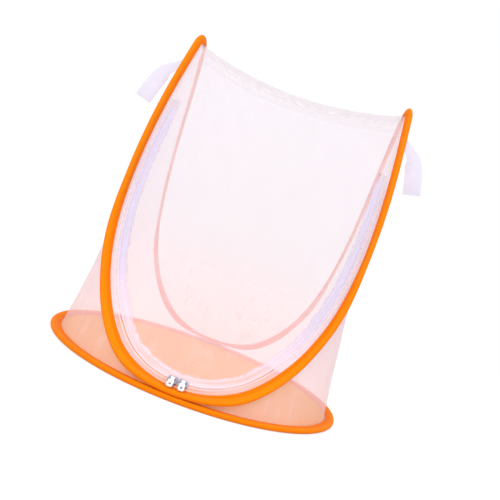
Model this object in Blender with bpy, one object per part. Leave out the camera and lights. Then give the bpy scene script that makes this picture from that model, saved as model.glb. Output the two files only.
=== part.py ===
"""Pop-up insect cage: a flat base ring, one saddle-shaped spring hoop and net panels with a zip door.

Metres, +Z up. The origin is on the ground under the middle of the base ring.
The zip door faces -Y, and +X is on the right of someone who looks at the door.
"""
import math

import bmesh
import bpy
from mathutils import Matrix, Vector

# Overall sizes
BASE_DIAMETER = 0.330
TOTAL_HEIGHT = 0.370

# Spring wires and the sleeves crimped over their ends
WIRE_DIAMETER = 0.0016
FERRULE_WALL = 0.0003
FERRULE_BORE_CLEARANCE = 0.0003
FERRULE_LENGTH = 0.008
WIRE_END_GAP = 0.001

# Folded fabric binding that wraps the wires and clamps the panel edges
BINDING_WIDTH = 0.0096
BINDING_WALL = 0.0005
SEAM_ALLOWANCE = 0.005
SEAM_EXIT = 0.0012

# Cloth
NET_THICKNESS = 0.0005
FLOOR_THICKNESS = 0.0006
TAPE_THICKNESS = 0.0006
RIBBON_THICKNESS = 0.0006

# Gap kept between pieces that touch
GAP = 0.0003

# Foot of the hoop: an arc in a plane that leans back from the upright
FOOT_ARC_RADIUS = 0.0852
FOOT_ARC_ANGLE = math.radians(46.0)
FOOT_LEAN = math.radians(42.5)
FOOT_DIP = math.radians(7.0)
FOOT_SETBACK = 0.0006

# Tips of the hoop at the left and right
TIP_HALF_SPACING = 0.1290
TIP_RADIUS = 0.0166
TIP_ARC_ANGLE = math.radians(65.2)
TIP_FLANGE_LEAN = math.radians(12.0)

# Pull of the arm between foot and tip
ARM_FOOT_PULL = 0.1162
ARM_TIP_PULL = 0.1340

# Places along the quarter where the arm's binding turns, and its turn from the front there
ARM_TURN_SHARES = (0.34, 0.54, 0.8)
ARM_TURNS = (math.radians(40.0), math.radians(12.0), math.radians(20.0))

# Zip: two coils that follow the hoop, and the tapes that carry them
ZIP_MARGIN = 0.0060
COIL_GAP = 0.0014
COIL_WIDTH = 0.0014
COIL_HEIGHT = 0.0014
TAPE_FLAT = 0.0042
INNER_TAPE_WIDTH = 0.0110
DOOR_LAP = 0.0035
STOP_LENGTH = 0.003

# Sag of the net between the tips
RIDGE_SAG = 0.018
ROOF_SAG = 0.022
TOP_PANEL_GAP = 0.0006

# Sliders
SLIDER_LENGTH = 0.0080
SLIDER_WIDTH = 0.0070
SLIDER_PLATE = 0.0008
SLIDER_NECK_WIDTH = 0.0008
SLIDER_NECK_LENGTH = 0.0024
SLIDER_SPACING = 0.0012
BRIDGE_WIDTH = 0.0016
BRIDGE_LENGTH = 0.0052
BRIDGE_HEIGHT = 0.0022
BRIDGE_WALL = 0.0007
SLIDER_LENGTH_SHARES = (-0.5, -0.38, 0.1, 0.3, 0.44, 0.5)
SLIDER_WIDTH_SHARES = (0.62, 0.78, 0.86, 1.0, 0.9, 0.62)

# Pull tabs
TAB_LENGTH = 0.0100
TAB_WIDTH = 0.0050
TAB_THICKNESS = 0.0008
TAB_ROOT_THICKNESS = 0.0006
TAB_SHOULDER = 0.0022
TAB_BARREL_WALL = 0.0004
TAB_CORNER = 0.0012
TAB_HOLE_WIDTH = 0.0022
TAB_HOLE_LENGTH = 0.0030
TAB_HOLE_MARGIN = 0.0014
TAB_SLOPE = math.radians(28.0)

# Ribbons sewn to the outside of the hoop near the tips
RIBBON_WIDTH = 0.019
RIBBON_REACH = 0.021
RIBBON_DROP = 0.053
RIBBON_FORWARD = 0.010
RIBBON_PULL = 0.022
RIBBON_RISE = 0.012
RIBBON_TURN_SHARE = 0.6
RIBBON_LEAVE_SLOPE = math.radians(25.0)
RIBBON_END_SLOPE = math.radians(76.0)

# Counts of steps along each stretch
FOOT_STEPS = 8
ARM_STEPS = 14
TIP_STEPS = 6
DOOR_TOP_STEP = 11
BASE_STEPS = 72
ROUND_STEPS = 5
WIRE_SIDES = 6
COIL_SIDES = 6
FERRULE_SIDES = 12
PANEL_RING_SHARES = (0.7, 0.36)
SIDE_MIDDLE_SHARE = 0.5
RIDGE_STEPS = 8
RIBBON_STEPS = 10
RIBBON_STATION_STEPS = 2
TAB_CORNER_STEPS = 3
TAB_BARREL_SIDES = 12

# Sizes that follow from those above
BASE_RADIUS = BASE_DIAMETER / 2
WIRE_RADIUS = WIRE_DIAMETER / 2
FERRULE_BORE = WIRE_RADIUS + FERRULE_BORE_CLEARANCE
FERRULE_RADIUS = FERRULE_BORE + FERRULE_WALL
CAVITY_RADIUS = FERRULE_RADIUS + GAP
EDGE_RADIUS = CAVITY_RADIUS + BINDING_WALL
WIRE_PLACE = BINDING_WIDTH - EDGE_RADIUS
PLY_OFFSET = (GAP + NET_THICKNESS) / 2
SLOT_HALF = PLY_OFFSET + NET_THICKNESS / 2 + GAP
BASE_SEAM_RADIUS = BASE_RADIUS - BINDING_WIDTH
BASE_SLOT_FLOOR = BINDING_WALL
FLOOR_LEVEL = BASE_SLOT_FLOOR + GAP + FLOOR_THICKNESS / 2
SIDE_PLY_LEVEL = FLOOR_LEVEL + FLOOR_THICKNESS / 2 + GAP + NET_THICKNESS / 2
BASE_SLOT_TOP = SIDE_PLY_LEVEL + NET_THICKNESS / 2 + GAP
BASE_RING_TOP = 2 * EDGE_RADIUS
FOOT_SEAM_Y = -(BASE_RADIUS - FOOT_SETBACK - BINDING_WIDTH * math.cos(FOOT_DIP))
FOOT_SEAM_Z = BASE_RING_TOP + GAP + EDGE_RADIUS + WIRE_PLACE * math.sin(FOOT_DIP)
TIP_SEAM_Z = TOTAL_HEIGHT - EDGE_RADIUS - WIRE_PLACE * math.cos(TIP_FLANGE_LEAN)
COIL_LEVEL = TAPE_THICKNESS / 2 + GAP + COIL_HEIGHT / 2
SLIDER_UNDER = -(TAPE_THICKNESS / 2 + GAP)
SLIDER_OVER = COIL_LEVEL + COIL_HEIGHT / 2 + GAP
SIDE_TURN_OFFSET = SLOT_HALF + BINDING_WALL + GAP + NET_THICKNESS / 2
BRIDGE_BAR_LEVEL = SLIDER_OVER + SLIDER_PLATE + BRIDGE_HEIGHT - BRIDGE_WALL / 2
TAB_BARREL_BORE = math.hypot(BRIDGE_WALL, BRIDGE_WALL) / 2 + GAP
TAB_BARREL_RADIUS = TAB_BARREL_BORE + TAB_BARREL_WALL
TAB_BARREL_LENGTH = BRIDGE_LENGTH - 2 * BRIDGE_WALL - 2 * GAP

RIDGE_SHARES = [1 - 2 * step / RIDGE_STEPS for step in range(RIDGE_STEPS + 1)]

AXIS_X = Vector((1.0, 0.0, 0.0))
AXIS_Y = Vector((0.0, 1.0, 0.0))
AXIS_Z = Vector((0.0, 0.0, 1.0))


class Station:
    """One place along the hoop's seam, with the directions that the pieces there follow.

    along runs with the seam and flange is where the binding's width points. outside is the
    binding's face on the side panel's side. inward lies in the front or back panel and points
    away from the hoop, and face is that panel's outer normal.
    """

    def __init__(self, seam, along, flange, outside, inward, face):
        self.seam = seam
        self.along = along
        self.flange = flange
        self.outside = outside
        self.inward = inward
        self.face = face

    def mirrored(self, sign_x, sign_y):
        flip = Matrix.Diagonal((sign_x, sign_y, 1.0))
        return Station(flip @ self.seam, flip @ self.along, flip @ self.flange,
                       flip @ self.outside, flip @ self.inward, flip @ self.face)

    def bound(self, across, up):
        """A point of the binding's section: across its width, and up from its middle plane."""
        return self.seam + self.flange * across + self.outside * up

    def panelled(self, inward, up):
        """A point of the front or back panel: inward from the zip's middle line, and up from it."""
        return self.seam + self.inward * (ZIP_MARGIN + inward) + self.face * up


def smooth_share(share):
    """Ease a share from 0 to 1 so that it starts and ends level."""
    return share * share * (3 - 2 * share)


def foot_point(angle):
    """A point of the foot arc, at an angle from the hoop's lowest point."""
    climb = FOOT_ARC_RADIUS * (1 - math.cos(angle))
    return Vector((FOOT_ARC_RADIUS * math.sin(angle),
                   FOOT_SEAM_Y + climb * math.sin(FOOT_LEAN),
                   FOOT_SEAM_Z + climb * math.cos(FOOT_LEAN)))


def foot_along(angle):
    """The foot arc's own direction at an angle."""
    return Vector((math.cos(angle),
                   math.sin(angle) * math.sin(FOOT_LEAN),
                   math.sin(angle) * math.cos(FOOT_LEAN)))


def tip_point(angle):
    """A point of the tip arc, at an angle from the hoop's highest point."""
    return Vector((TIP_HALF_SPACING,
                   -TIP_RADIUS * math.sin(angle),
                   TIP_SEAM_Z - TIP_RADIUS * (1 - math.cos(angle))))


def tip_along(angle):
    """The tip arc's own direction at an angle."""
    return Vector((0.0, math.cos(angle), math.sin(angle)))


def arm_point(share):
    """A point of the arm, a cubic curve that leaves the foot arc and joins the tip arc."""
    start = foot_point(FOOT_ARC_ANGLE)
    end = tip_point(TIP_ARC_ANGLE)
    leave = start + foot_along(FOOT_ARC_ANGLE) * ARM_FOOT_PULL
    arrive = end - tip_along(TIP_ARC_ANGLE) * ARM_TIP_PULL
    rest = 1 - share
    return (start * rest ** 3 + leave * (3 * rest ** 2 * share)
            + arrive * (3 * rest * share ** 2) + end * share ** 3)


def seam_quarter():
    """The seam's points and directions from the front foot to the right tip."""
    points = []
    alongs = []
    for step in range(FOOT_STEPS + 1):
        angle = FOOT_ARC_ANGLE * step / FOOT_STEPS
        points.append(foot_point(angle))
        alongs.append(foot_along(angle))
    for step in range(1, ARM_STEPS):
        points.append(arm_point(step / ARM_STEPS))
        alongs.append(None)
    for step in range(TIP_STEPS + 1):
        angle = TIP_ARC_ANGLE * (1 - step / TIP_STEPS)
        points.append(tip_point(angle))
        alongs.append(tip_along(angle))
    for place in range(len(points)):
        if alongs[place] is None:
            alongs[place] = (points[place + 1] - points[place - 1]).normalized()
    return points, alongs


def length_shares(points):
    """How far along the points each one lies, from 0 to 1."""
    reached = [0.0]
    for before, after in zip(points, points[1:]):
        reached.append(reached[-1] + (after - before).length)
    return [length / reached[-1] for length in reached]


def flange_aims(foot_share):
    """Places along the quarter and the directions where the binding's width points there."""
    foot_aim = Vector((0.0, -math.cos(FOOT_DIP), -math.sin(FOOT_DIP)))
    foot_end_aim = Vector((math.sin(FOOT_ARC_ANGLE),
                           -math.cos(FOOT_ARC_ANGLE) * math.sin(FOOT_LEAN),
                           -math.cos(FOOT_ARC_ANGLE) * math.cos(FOOT_LEAN)))
    arm_aims = [(share, Vector((math.sin(turn), -math.cos(turn), 0.0)))
                for share, turn in zip(ARM_TURN_SHARES, ARM_TURNS)]
    tip_aim = Vector((math.sin(TIP_FLANGE_LEAN), 0.0, math.cos(TIP_FLANGE_LEAN)))
    return [(0.0, foot_aim), (foot_share, foot_end_aim)] + arm_aims + [(1.0, tip_aim)]


def aim_at(aims, share):
    """The aim at a share of the quarter's length, eased between the two places round it."""
    for (place, aim), (next_place, next_aim) in zip(aims, aims[1:]):
        if share <= next_place:
            return aim.lerp(next_aim, smooth_share((share - place) / (next_place - place)))
    return aims[-1][1].copy()


def quarter_stations():
    """Stations from the front foot to the right tip."""
    points, alongs = seam_quarter()
    shares = length_shares(points)
    aims = flange_aims(shares[FOOT_STEPS])
    stations = []
    for place, (point, along) in enumerate(zip(points, alongs)):
        aim = aim_at(aims, shares[place])
        flange = (aim - along * aim.dot(along)).normalized()
        outside = along.cross(flange)
        if place <= FOOT_STEPS:
            face = Vector((0.0, -math.cos(FOOT_LEAN), math.sin(FOOT_LEAN)))
        else:
            face = Vector((0.0, -along.z, along.y)).normalized()
        inward = face.cross(along).normalized()
        stations.append(Station(point, along, flange, outside, inward, face))
    return stations


QUARTER = quarter_stations()
DOOR_TOP = FOOT_STEPS + DOOR_TOP_STEP
RIDGE = FOOT_STEPS + ARM_STEPS


def right_half():
    """Stations from the front foot over the right tip to the back foot."""
    back = [station.mirrored(1, -1) for station in QUARTER[-2::-1]]
    return QUARTER + back


def whole_loop():
    """Stations once round the hoop, from the front foot by way of the right tip."""
    left = [station.mirrored(-1, 1) for station in right_half()[-2:0:-1]]
    return right_half() + left


def front_arc(top):
    """Stations of the front from the left arm, down round the foot, to the right arm."""
    left = [station.mirrored(-1, 1) for station in QUARTER[top:0:-1]]
    return left + QUARTER[:top + 1]


def lowered(station, drop):
    """The same station, moved a short way down along the seam."""
    down = station.along if station.along.z < 0 else -station.along
    return Station(station.seam + down * drop, station.along, station.flange,
                   station.outside, station.inward, station.face)


def profile_depth(height):
    """Depth of the front seam at a height, for net that spans the hoop from side to side."""
    for low, high in zip(QUARTER, QUARTER[1:]):
        if height <= high.seam.z:
            rise = high.seam.z - low.seam.z
            share = (height - low.seam.z) / rise if rise > 0 else 0.0
            return low.seam.y + (high.seam.y - low.seam.y) * max(share, 0.0)
    return QUARTER[-1].seam.y


def make_material(name, colour, roughness, metallic=0.0, alpha=1.0):
    """A plain Principled material."""
    material = bpy.data.materials.new(name)
    material.use_nodes = True
    shader = material.node_tree.nodes["Principled BSDF"]
    shader.inputs["Base Color"].default_value = (*colour, 1.0)
    shader.inputs["Roughness"].default_value = roughness
    shader.inputs["Metallic"].default_value = metallic
    shader.inputs["Alpha"].default_value = alpha
    return material


def make_object(name, mesh_data, finish, smooth_angle=35.0):
    """Write a bmesh to an object with its own material."""
    bmesh.ops.recalc_face_normals(mesh_data, faces=mesh_data.faces)
    mesh = bpy.data.meshes.new(name)
    mesh_data.to_mesh(mesh)
    mesh_data.free()
    mesh.shade_smooth()
    mesh.set_sharp_from_angle(angle=math.radians(smooth_angle))
    mesh.materials.append(make_material(name, *finish))
    piece = bpy.data.objects.new(name, mesh)
    bpy.context.scene.collection.objects.link(piece)
    return piece


def sweep(rings, closed):
    """Join rings of points into one body, closed round or capped at both ends."""
    body = bmesh.new()
    rows = [[body.verts.new(point) for point in ring] for ring in rings]
    pairs = list(zip(rows, rows[1:]))
    if closed:
        pairs.append((rows[-1], rows[0]))
    for row, next_row in pairs:
        for side in range(len(row)):
            other = (side + 1) % len(row)
            body.faces.new((row[side], row[other], next_row[other], next_row[side]))
    if not closed:
        body.faces.new(rows[0])
        body.faces.new(rows[-1])
    bmesh.ops.triangulate(body, faces=body.faces)
    return body


def cloth_grid(rows):
    """An open sheet from rows of points."""
    sheet = bmesh.new()
    grid = [[sheet.verts.new(point) for point in row] for row in rows]
    for row, next_row in zip(grid, grid[1:]):
        for side in range(len(row) - 1):
            sheet.faces.new((row[side], row[side + 1], next_row[side + 1], next_row[side]))
    return sheet


def cloth_disc(rings, centre, hem=()):
    """An open sheet from closed rings of points that shrink to a centre, with a hem outside it.

    The hem is a strip along the first points of the outer ring.
    """
    sheet = bmesh.new()
    grid = [[sheet.verts.new(point) for point in ring] for ring in rings]
    fringe = [sheet.verts.new(point) for point in hem]
    for side in range(len(fringe) - 1):
        sheet.faces.new((fringe[side], fringe[side + 1], grid[0][side + 1], grid[0][side]))
    for ring, next_ring in zip(grid, grid[1:]):
        for side in range(len(ring)):
            other = (side + 1) % len(ring)
            sheet.faces.new((ring[side], ring[other], next_ring[other], next_ring[side]))
    middle = sheet.verts.new(centre)
    last = grid[-1]
    for side in range(len(last)):
        sheet.faces.new((last[side], last[(side + 1) % len(last)], middle))
    return sheet


def make_cloth(name, sheet, thickness, finish):
    """Write a sheet to an object and give it its thickness, half to each side."""
    bmesh.ops.triangulate(sheet, faces=sheet.faces)
    piece = make_object(name, sheet, finish)
    solid = piece.modifiers.new("thickness", "SOLIDIFY")
    solid.thickness = thickness
    solid.offset = 0.0
    return piece


def set_origin(piece, place):
    """Move an object's origin to a place without moving its shape."""
    piece.data.transform(Matrix.Translation(-place))
    piece.location = place


def arc_points(centre, radius, start, end):
    """Points of a section's round stretch, as pairs across and up."""
    points = []
    for step in range(ROUND_STEPS + 1):
        angle = start + (end - start) * step / ROUND_STEPS
        points.append((centre[0] + radius * math.cos(angle), centre[1] + radius * math.sin(angle)))
    return points


def hoop_section():
    """The hoop binding's section: a fold round the wire and two legs that clamp the net."""
    quarter_turn = math.pi / 2
    outer = arc_points((WIRE_PLACE, 0.0), EDGE_RADIUS, -quarter_turn, quarter_turn)
    inner = arc_points((WIRE_PLACE, 0.0), CAVITY_RADIUS, quarter_turn, -quarter_turn)
    hem = SLOT_HALF + BINDING_WALL
    return [(0.0, -hem)] + outer + [(0.0, hem), (0.0, SLOT_HALF)] + inner + [(0.0, -SLOT_HALF)]


def base_section():
    """The base binding's section, flat underneath, as pairs of radius and height."""
    quarter_turn = math.pi / 2
    centre = (BASE_SEAM_RADIUS + WIRE_PLACE, EDGE_RADIUS)
    outer = arc_points(centre, EDGE_RADIUS, -quarter_turn, quarter_turn)
    inner = arc_points(centre, CAVITY_RADIUS, quarter_turn, -quarter_turn)
    hem_top = BASE_SLOT_TOP + BINDING_WALL
    return ([(BASE_SEAM_RADIUS, 0.0)] + outer
            + [(BASE_SEAM_RADIUS, hem_top), (BASE_SEAM_RADIUS, BASE_SLOT_TOP)]
            + inner + [(BASE_SEAM_RADIUS, BASE_SLOT_FLOOR)])


def around(radius, height, angle):
    """A point at an angle round the cage, measured from the front towards the right."""
    return Vector((radius * math.sin(angle), -radius * math.cos(angle), height))


def base_angles():
    """Angles of the steps round the base ring."""
    return [2 * math.pi * step / BASE_STEPS for step in range(BASE_STEPS)]


def circle_ring(centre, side, up, radius, sides):
    """A ring of points round a wire."""
    ring = []
    for step in range(sides):
        angle = 2 * math.pi * step / sides
        ring.append(centre + side * (radius * math.cos(angle)) + up * (radius * math.sin(angle)))
    return ring


def make_ferrule(name, centre, along, finish):
    """A sleeve crimped over the two ends of a wire, straight and open right through."""
    side = along.orthogonal().normalized()
    up = along.cross(side)
    ends = (centre - along * FERRULE_LENGTH / 2, centre + along * FERRULE_LENGTH / 2)
    sleeve = bmesh.new()
    rings = []
    for end, radius in ((ends[0], FERRULE_BORE), (ends[0], FERRULE_RADIUS),
                        (ends[1], FERRULE_RADIUS), (ends[1], FERRULE_BORE)):
        ring = circle_ring(end, side, up, radius, FERRULE_SIDES)
        rings.append([sleeve.verts.new(point) for point in ring])
    for row, next_row in zip(rings, rings[1:] + rings[:1]):
        for place in range(FERRULE_SIDES):
            other = (place + 1) % FERRULE_SIDES
            sleeve.faces.new((row[place], row[other], next_row[other], next_row[place]))
    return make_object(name, sleeve, finish)


def build_base():
    """The ring that the cage stands on: wire, sleeve, folded binding and floor."""
    section = base_section()
    rings = []
    for angle in base_angles():
        rings.append([around(radius, height, angle) for radius, height in section])
    make_object("base_binding", sweep(rings, True), BINDING_FINISH)

    wire_radius = BASE_SEAM_RADIUS + WIRE_PLACE
    rings = []
    half_gap = WIRE_END_GAP / (2 * wire_radius)
    for step in range(BASE_STEPS + 1):
        angle = math.pi + half_gap + (2 * math.pi - 2 * half_gap) * step / BASE_STEPS
        outward = around(wire_radius, 0.0, angle).normalized()
        centre = around(wire_radius, EDGE_RADIUS, angle)
        rings.append(circle_ring(centre, outward, AXIS_Z, WIRE_RADIUS, WIRE_SIDES))
    make_object("base_wire", sweep(rings, False), WIRE_FINISH)
    make_ferrule("base_wire_ferrule", around(wire_radius, EDGE_RADIUS, math.pi), AXIS_X,
                 FERRULE_FINISH)

    floor = bmesh.new()
    rim = [floor.verts.new(around(BASE_SEAM_RADIUS + SEAM_ALLOWANCE, FLOOR_LEVEL, angle))
           for angle in base_angles()]
    floor.faces.new(rim)
    make_cloth("floor_panel", floor, FLOOR_THICKNESS, FLOOR_FINISH)


def build_hoop():
    """The saddle-shaped spring hoop: wire, sleeve and folded binding."""
    loop = whole_loop()
    section = hoop_section()
    rings = [[station.bound(across, up) for across, up in section] for station in loop]
    make_object("hoop_binding", sweep(rings, True), BINDING_FINISH)

    # The wire's two ends meet under the back foot, where the sleeve joins them
    ferrule_place = len(right_half()) - 1
    ordered = loop[ferrule_place:] + loop[:ferrule_place + 1]
    rings = []
    for station in ordered:
        centre = station.bound(WIRE_PLACE, 0.0)
        rings.append(circle_ring(centre, station.flange, station.outside,
                                 WIRE_RADIUS, WIRE_SIDES))
    for ring, sign in ((rings[0], -1), (rings[-1], 1)):
        for place in range(WIRE_SIDES):
            ring[place] = ring[place] + AXIS_X * (sign * WIRE_END_GAP / 2)
    make_object("hoop_wire", sweep(rings, False), WIRE_FINISH)
    make_ferrule("hoop_wire_ferrule", loop[ferrule_place].bound(WIRE_PLACE, 0.0), AXIS_X,
                 FERRULE_FINISH)


def side_column(station):
    """Points of the side net from inside the hoop's binding, round its hem, to inside the base's."""
    angle = math.atan2(station.seam.x, -station.seam.y)
    turned = station.bound(-SEAM_EXIT, SIDE_TURN_OFFSET)
    base_exit = around(BASE_SEAM_RADIUS - SEAM_EXIT, SIDE_PLY_LEVEL, angle)
    return [station.bound(SEAM_ALLOWANCE, PLY_OFFSET), station.bound(-SEAM_EXIT, PLY_OFFSET),
            turned, turned.lerp(base_exit, SIDE_MIDDLE_SHARE), base_exit,
            around(BASE_SEAM_RADIUS + SEAM_ALLOWANCE, SIDE_PLY_LEVEL, angle)]


def build_side_panels():
    """Left and right nets that flare from the hoop to the base ring."""
    for side, sign in (("right", 1), ("left", -1)):
        columns = []
        for station in right_half():
            columns.append(side_column(station))
        for column in (columns[0], columns[-1]):
            for place, point in enumerate(column):
                column[place] = point + AXIS_X * GAP
        flip = Matrix.Diagonal((sign, 1.0, 1.0))
        turned = [[flip @ point for point in column] for column in columns]
        make_cloth("side_panel_" + side, cloth_grid(turned), NET_THICKNESS, NET_FINISH)


def ridge_point(share, start, sag):
    """A point of the net's top edge, which hangs between a station and its mirror image."""
    end = start.bound(-SEAM_EXIT, -PLY_OFFSET)
    return Vector((end.x * share, end.y, end.z - sag * (1 - share ** 2)))


def inside_ring(points, share, middle_height, depth_sign, inset):
    """A ring of panel points drawn in towards the middle of the panel."""
    ring = []
    for point in points:
        height = middle_height + (point.z - middle_height) * share
        depth = (profile_depth(height) + inset) * depth_sign
        ring.append(Vector((point.x * share, depth, height)))
    return ring


def build_back_panel():
    """The back net, from the back foot up to the rear ridge."""
    stations = [station.mirrored(1, -1) for station in front_arc(RIDGE)]
    hidden = [station.bound(SEAM_ALLOWANCE, -PLY_OFFSET) for station in stations]
    leaving = [station.bound(-SEAM_EXIT, -PLY_OFFSET) for station in stations]
    ridge = [ridge_point(share, stations[-1], RIDGE_SAG) for share in RIDGE_SHARES[1:-1]]
    middle_height = (leaving[len(leaving) // 2].z + ridge[len(ridge) // 2].z) / 2
    edge = leaving + ridge
    rings = [edge]
    inset = SEAM_EXIT
    for share in PANEL_RING_SHARES:
        rings.append(inside_ring(edge, share, middle_height, -1, inset))
    centre = Vector((0.0, -(profile_depth(middle_height) + inset), middle_height))
    make_cloth("back_panel", cloth_disc(rings, centre, hidden), NET_THICKNESS, NET_FINISH)


def build_top_panels():
    """The net above the door and the roof net between the two ridges."""
    rows = []
    for place in range(DOOR_TOP, RIDGE + 1):
        station = QUARTER[place]
        if place == DOOR_TOP:
            station = lowered(station, -TOP_PANEL_GAP)
        if place == RIDGE:
            station = lowered(station, TOP_PANEL_GAP)
        climb = (place - DOOR_TOP) / (RIDGE - DOOR_TOP)
        rows.append(spanning_row(station, RIDGE_SAG * smooth_share(climb)))
    make_cloth("front_top_panel", cloth_grid(rows), NET_THICKNESS, NET_FINISH)

    rows = []
    tip = QUARTER[RIDGE:] + [station.mirrored(1, -1) for station in QUARTER[-2:RIDGE - 1:-1]]
    for place, station in enumerate(tip):
        if place == 0:
            station = lowered(station, -TOP_PANEL_GAP)
        if place == len(tip) - 1:
            station = lowered(station, -TOP_PANEL_GAP)
        across = math.sin(math.pi * place / (len(tip) - 1))
        rows.append(spanning_row(station, RIDGE_SAG + (ROOF_SAG - RIDGE_SAG) * across))
    make_cloth("roof_panel", cloth_grid(rows), NET_THICKNESS, NET_FINISH)


def spanning_row(station, sag):
    """A row of net from inside the right binding across to inside the left one."""
    hidden = station.bound(SEAM_ALLOWANCE, -PLY_OFFSET)
    row = [hidden]
    for share in RIDGE_SHARES:
        row.append(ridge_point(share, station, sag))
    row.append(Vector((-hidden.x, hidden.y, hidden.z)))
    return row


def build_zip():
    """The zip's two tapes and two coils, with a stop at each of their ends."""
    stations = front_arc(DOOR_TOP)
    half_gap = COIL_GAP / 2
    columns = []
    for station in stations:
        columns.append([station.bound(SEAM_ALLOWANCE, -PLY_OFFSET),
                        station.bound(-SEAM_EXIT, -PLY_OFFSET),
                        station.panelled(-TAPE_FLAT, 0.0),
                        station.panelled(-half_gap, 0.0)])
    make_cloth("zip_tape_outer", cloth_grid(columns), TAPE_THICKNESS, TAPE_FINISH)
    columns = []
    for station in stations:
        columns.append([station.panelled(half_gap, 0.0),
                        station.panelled(INNER_TAPE_WIDTH / 2, 0.0),
                        station.panelled(INNER_TAPE_WIDTH, 0.0)])
    make_cloth("zip_tape_inner", cloth_grid(columns), TAPE_THICKNESS, TAPE_FINISH)

    coil_place = half_gap + COIL_WIDTH / 2
    short = STOP_LENGTH + 2 * GAP
    coil_stations = ([lowered(stations[0], short)] + stations[1:-1]
                     + [lowered(stations[-1], short)])
    for name, sign in (("outer", -1), ("inner", 1)):
        rings = []
        for station in coil_stations:
            rings.append(coil_ring(station, sign * coil_place))
        make_object("zip_coil_" + name, sweep(rings, False), COIL_FINISH)
        for side, station in (("left", stations[0]), ("right", stations[-1])):
            block = [coil_ring(lowered(station, drop), sign * coil_place)
                     for drop in (GAP, GAP + STOP_LENGTH)]
            make_object("zip_stop_" + name + "_" + side, sweep(block, False), METAL_FINISH)


def coil_ring(station, place):
    """A six-sided section of a coil."""
    ring = []
    for step in range(COIL_SIDES):
        angle = math.pi * (2 * step + 1) / COIL_SIDES
        across = COIL_WIDTH / 2 * math.sin(angle)
        up = COIL_HEIGHT / 2 * math.cos(angle) / math.cos(math.pi / COIL_SIDES)
        ring.append(station.panelled(place + across, COIL_LEVEL + up))
    return ring


def build_door():
    """The door's net, lapped behind the inner tape and hung from its top edge."""
    lap = INNER_TAPE_WIDTH - DOOR_LAP
    level = -(TAPE_THICKNESS / 2 + GAP + NET_THICKNESS / 2)
    stations = front_arc(DOOR_TOP)
    edge = [station.panelled(lap, level) for station in stations]
    top = edge[-1]
    for share in RIDGE_SHARES[1:-1]:
        edge.append(Vector((top.x * share, top.y, top.z)))
    middle_height = (edge[len(stations) // 2].z + top.z) / 2
    inset = -level / math.cos(FOOT_LEAN)
    rings = [edge, [station.panelled(INNER_TAPE_WIDTH, level) for station in stations]]
    inner_top = rings[1][-1]
    for share in RIDGE_SHARES[1:-1]:
        rings[1].append(Vector((inner_top.x * share, top.y, top.z - DOOR_LAP)))
    for share in PANEL_RING_SHARES:
        rings.append(inside_ring(rings[1], share, middle_height, 1, inset))
    centre = Vector((0.0, profile_depth(middle_height) + inset, middle_height))
    door = make_cloth("door_panel", cloth_disc(rings, centre), NET_THICKNESS, NET_FINISH)
    fold = stations[-1].panelled(lap, SLIDER_OVER)
    set_origin(door, Vector((0.0, fold.y, fold.z)))


def slider_frame(sign):
    """Centre and directions of a slider at rest: along the zip, inward and out of the door."""
    radius = FOOT_ARC_RADIUS - ZIP_MARGIN
    angle = sign * (SLIDER_LENGTH + SLIDER_SPACING) / 2 / radius
    face = Vector((0.0, -math.cos(FOOT_LEAN), math.sin(FOOT_LEAN)))
    along = foot_along(angle)
    inward = face.cross(along)
    centre = foot_point(angle) + inward * ZIP_MARGIN
    return centre, along * sign, inward, face


def box_between(frame, low, high):
    """A box in a slider's frame, between two corners."""
    centre, along, inward, face = frame
    corners = []
    for up in (low[2], high[2]):
        for across, forth in ((low[1], low[0]), (high[1], low[0]),
                              (high[1], high[0]), (low[1], high[0])):
            corners.append(centre + along * forth + inward * across + face * up)
    return sweep([corners[:4], corners[4:]], False)


def slider_plate(frame, low, high):
    """One plate of a slider, with a narrow tail and broad shoulders."""
    centre, along, inward, face = frame
    one_side = [(SLIDER_LENGTH * length_share, SLIDER_WIDTH / 2 * width_share)
                for length_share, width_share in zip(SLIDER_LENGTH_SHARES, SLIDER_WIDTH_SHARES)]
    outline = one_side + [(back, -half) for back, half in reversed(one_side)]
    rings = []
    for up in (low, high):
        rings.append([centre - along * back + inward * half + face * up
                      for back, half in outline])
    return sweep(rings, False)


def combined(base, body, operation):
    """Add a body to an object, or cut it away, and keep the result as the object's mesh."""
    cutter = make_object(base.name + "_tool", body, METAL_FINISH)
    change = base.modifiers.new("change", "BOOLEAN")
    change.operation = operation
    change.solver = "EXACT"
    change.object = cutter
    bpy.context.view_layer.update()
    graph = bpy.context.evaluated_depsgraph_get()
    result = bpy.data.meshes.new_from_object(base.evaluated_get(graph))
    finish = base.data.materials[0]
    base.modifiers.clear()
    base.data = result
    base.data.materials.clear()
    base.data.materials.append(finish)
    bpy.data.objects.remove(cutter)


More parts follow.
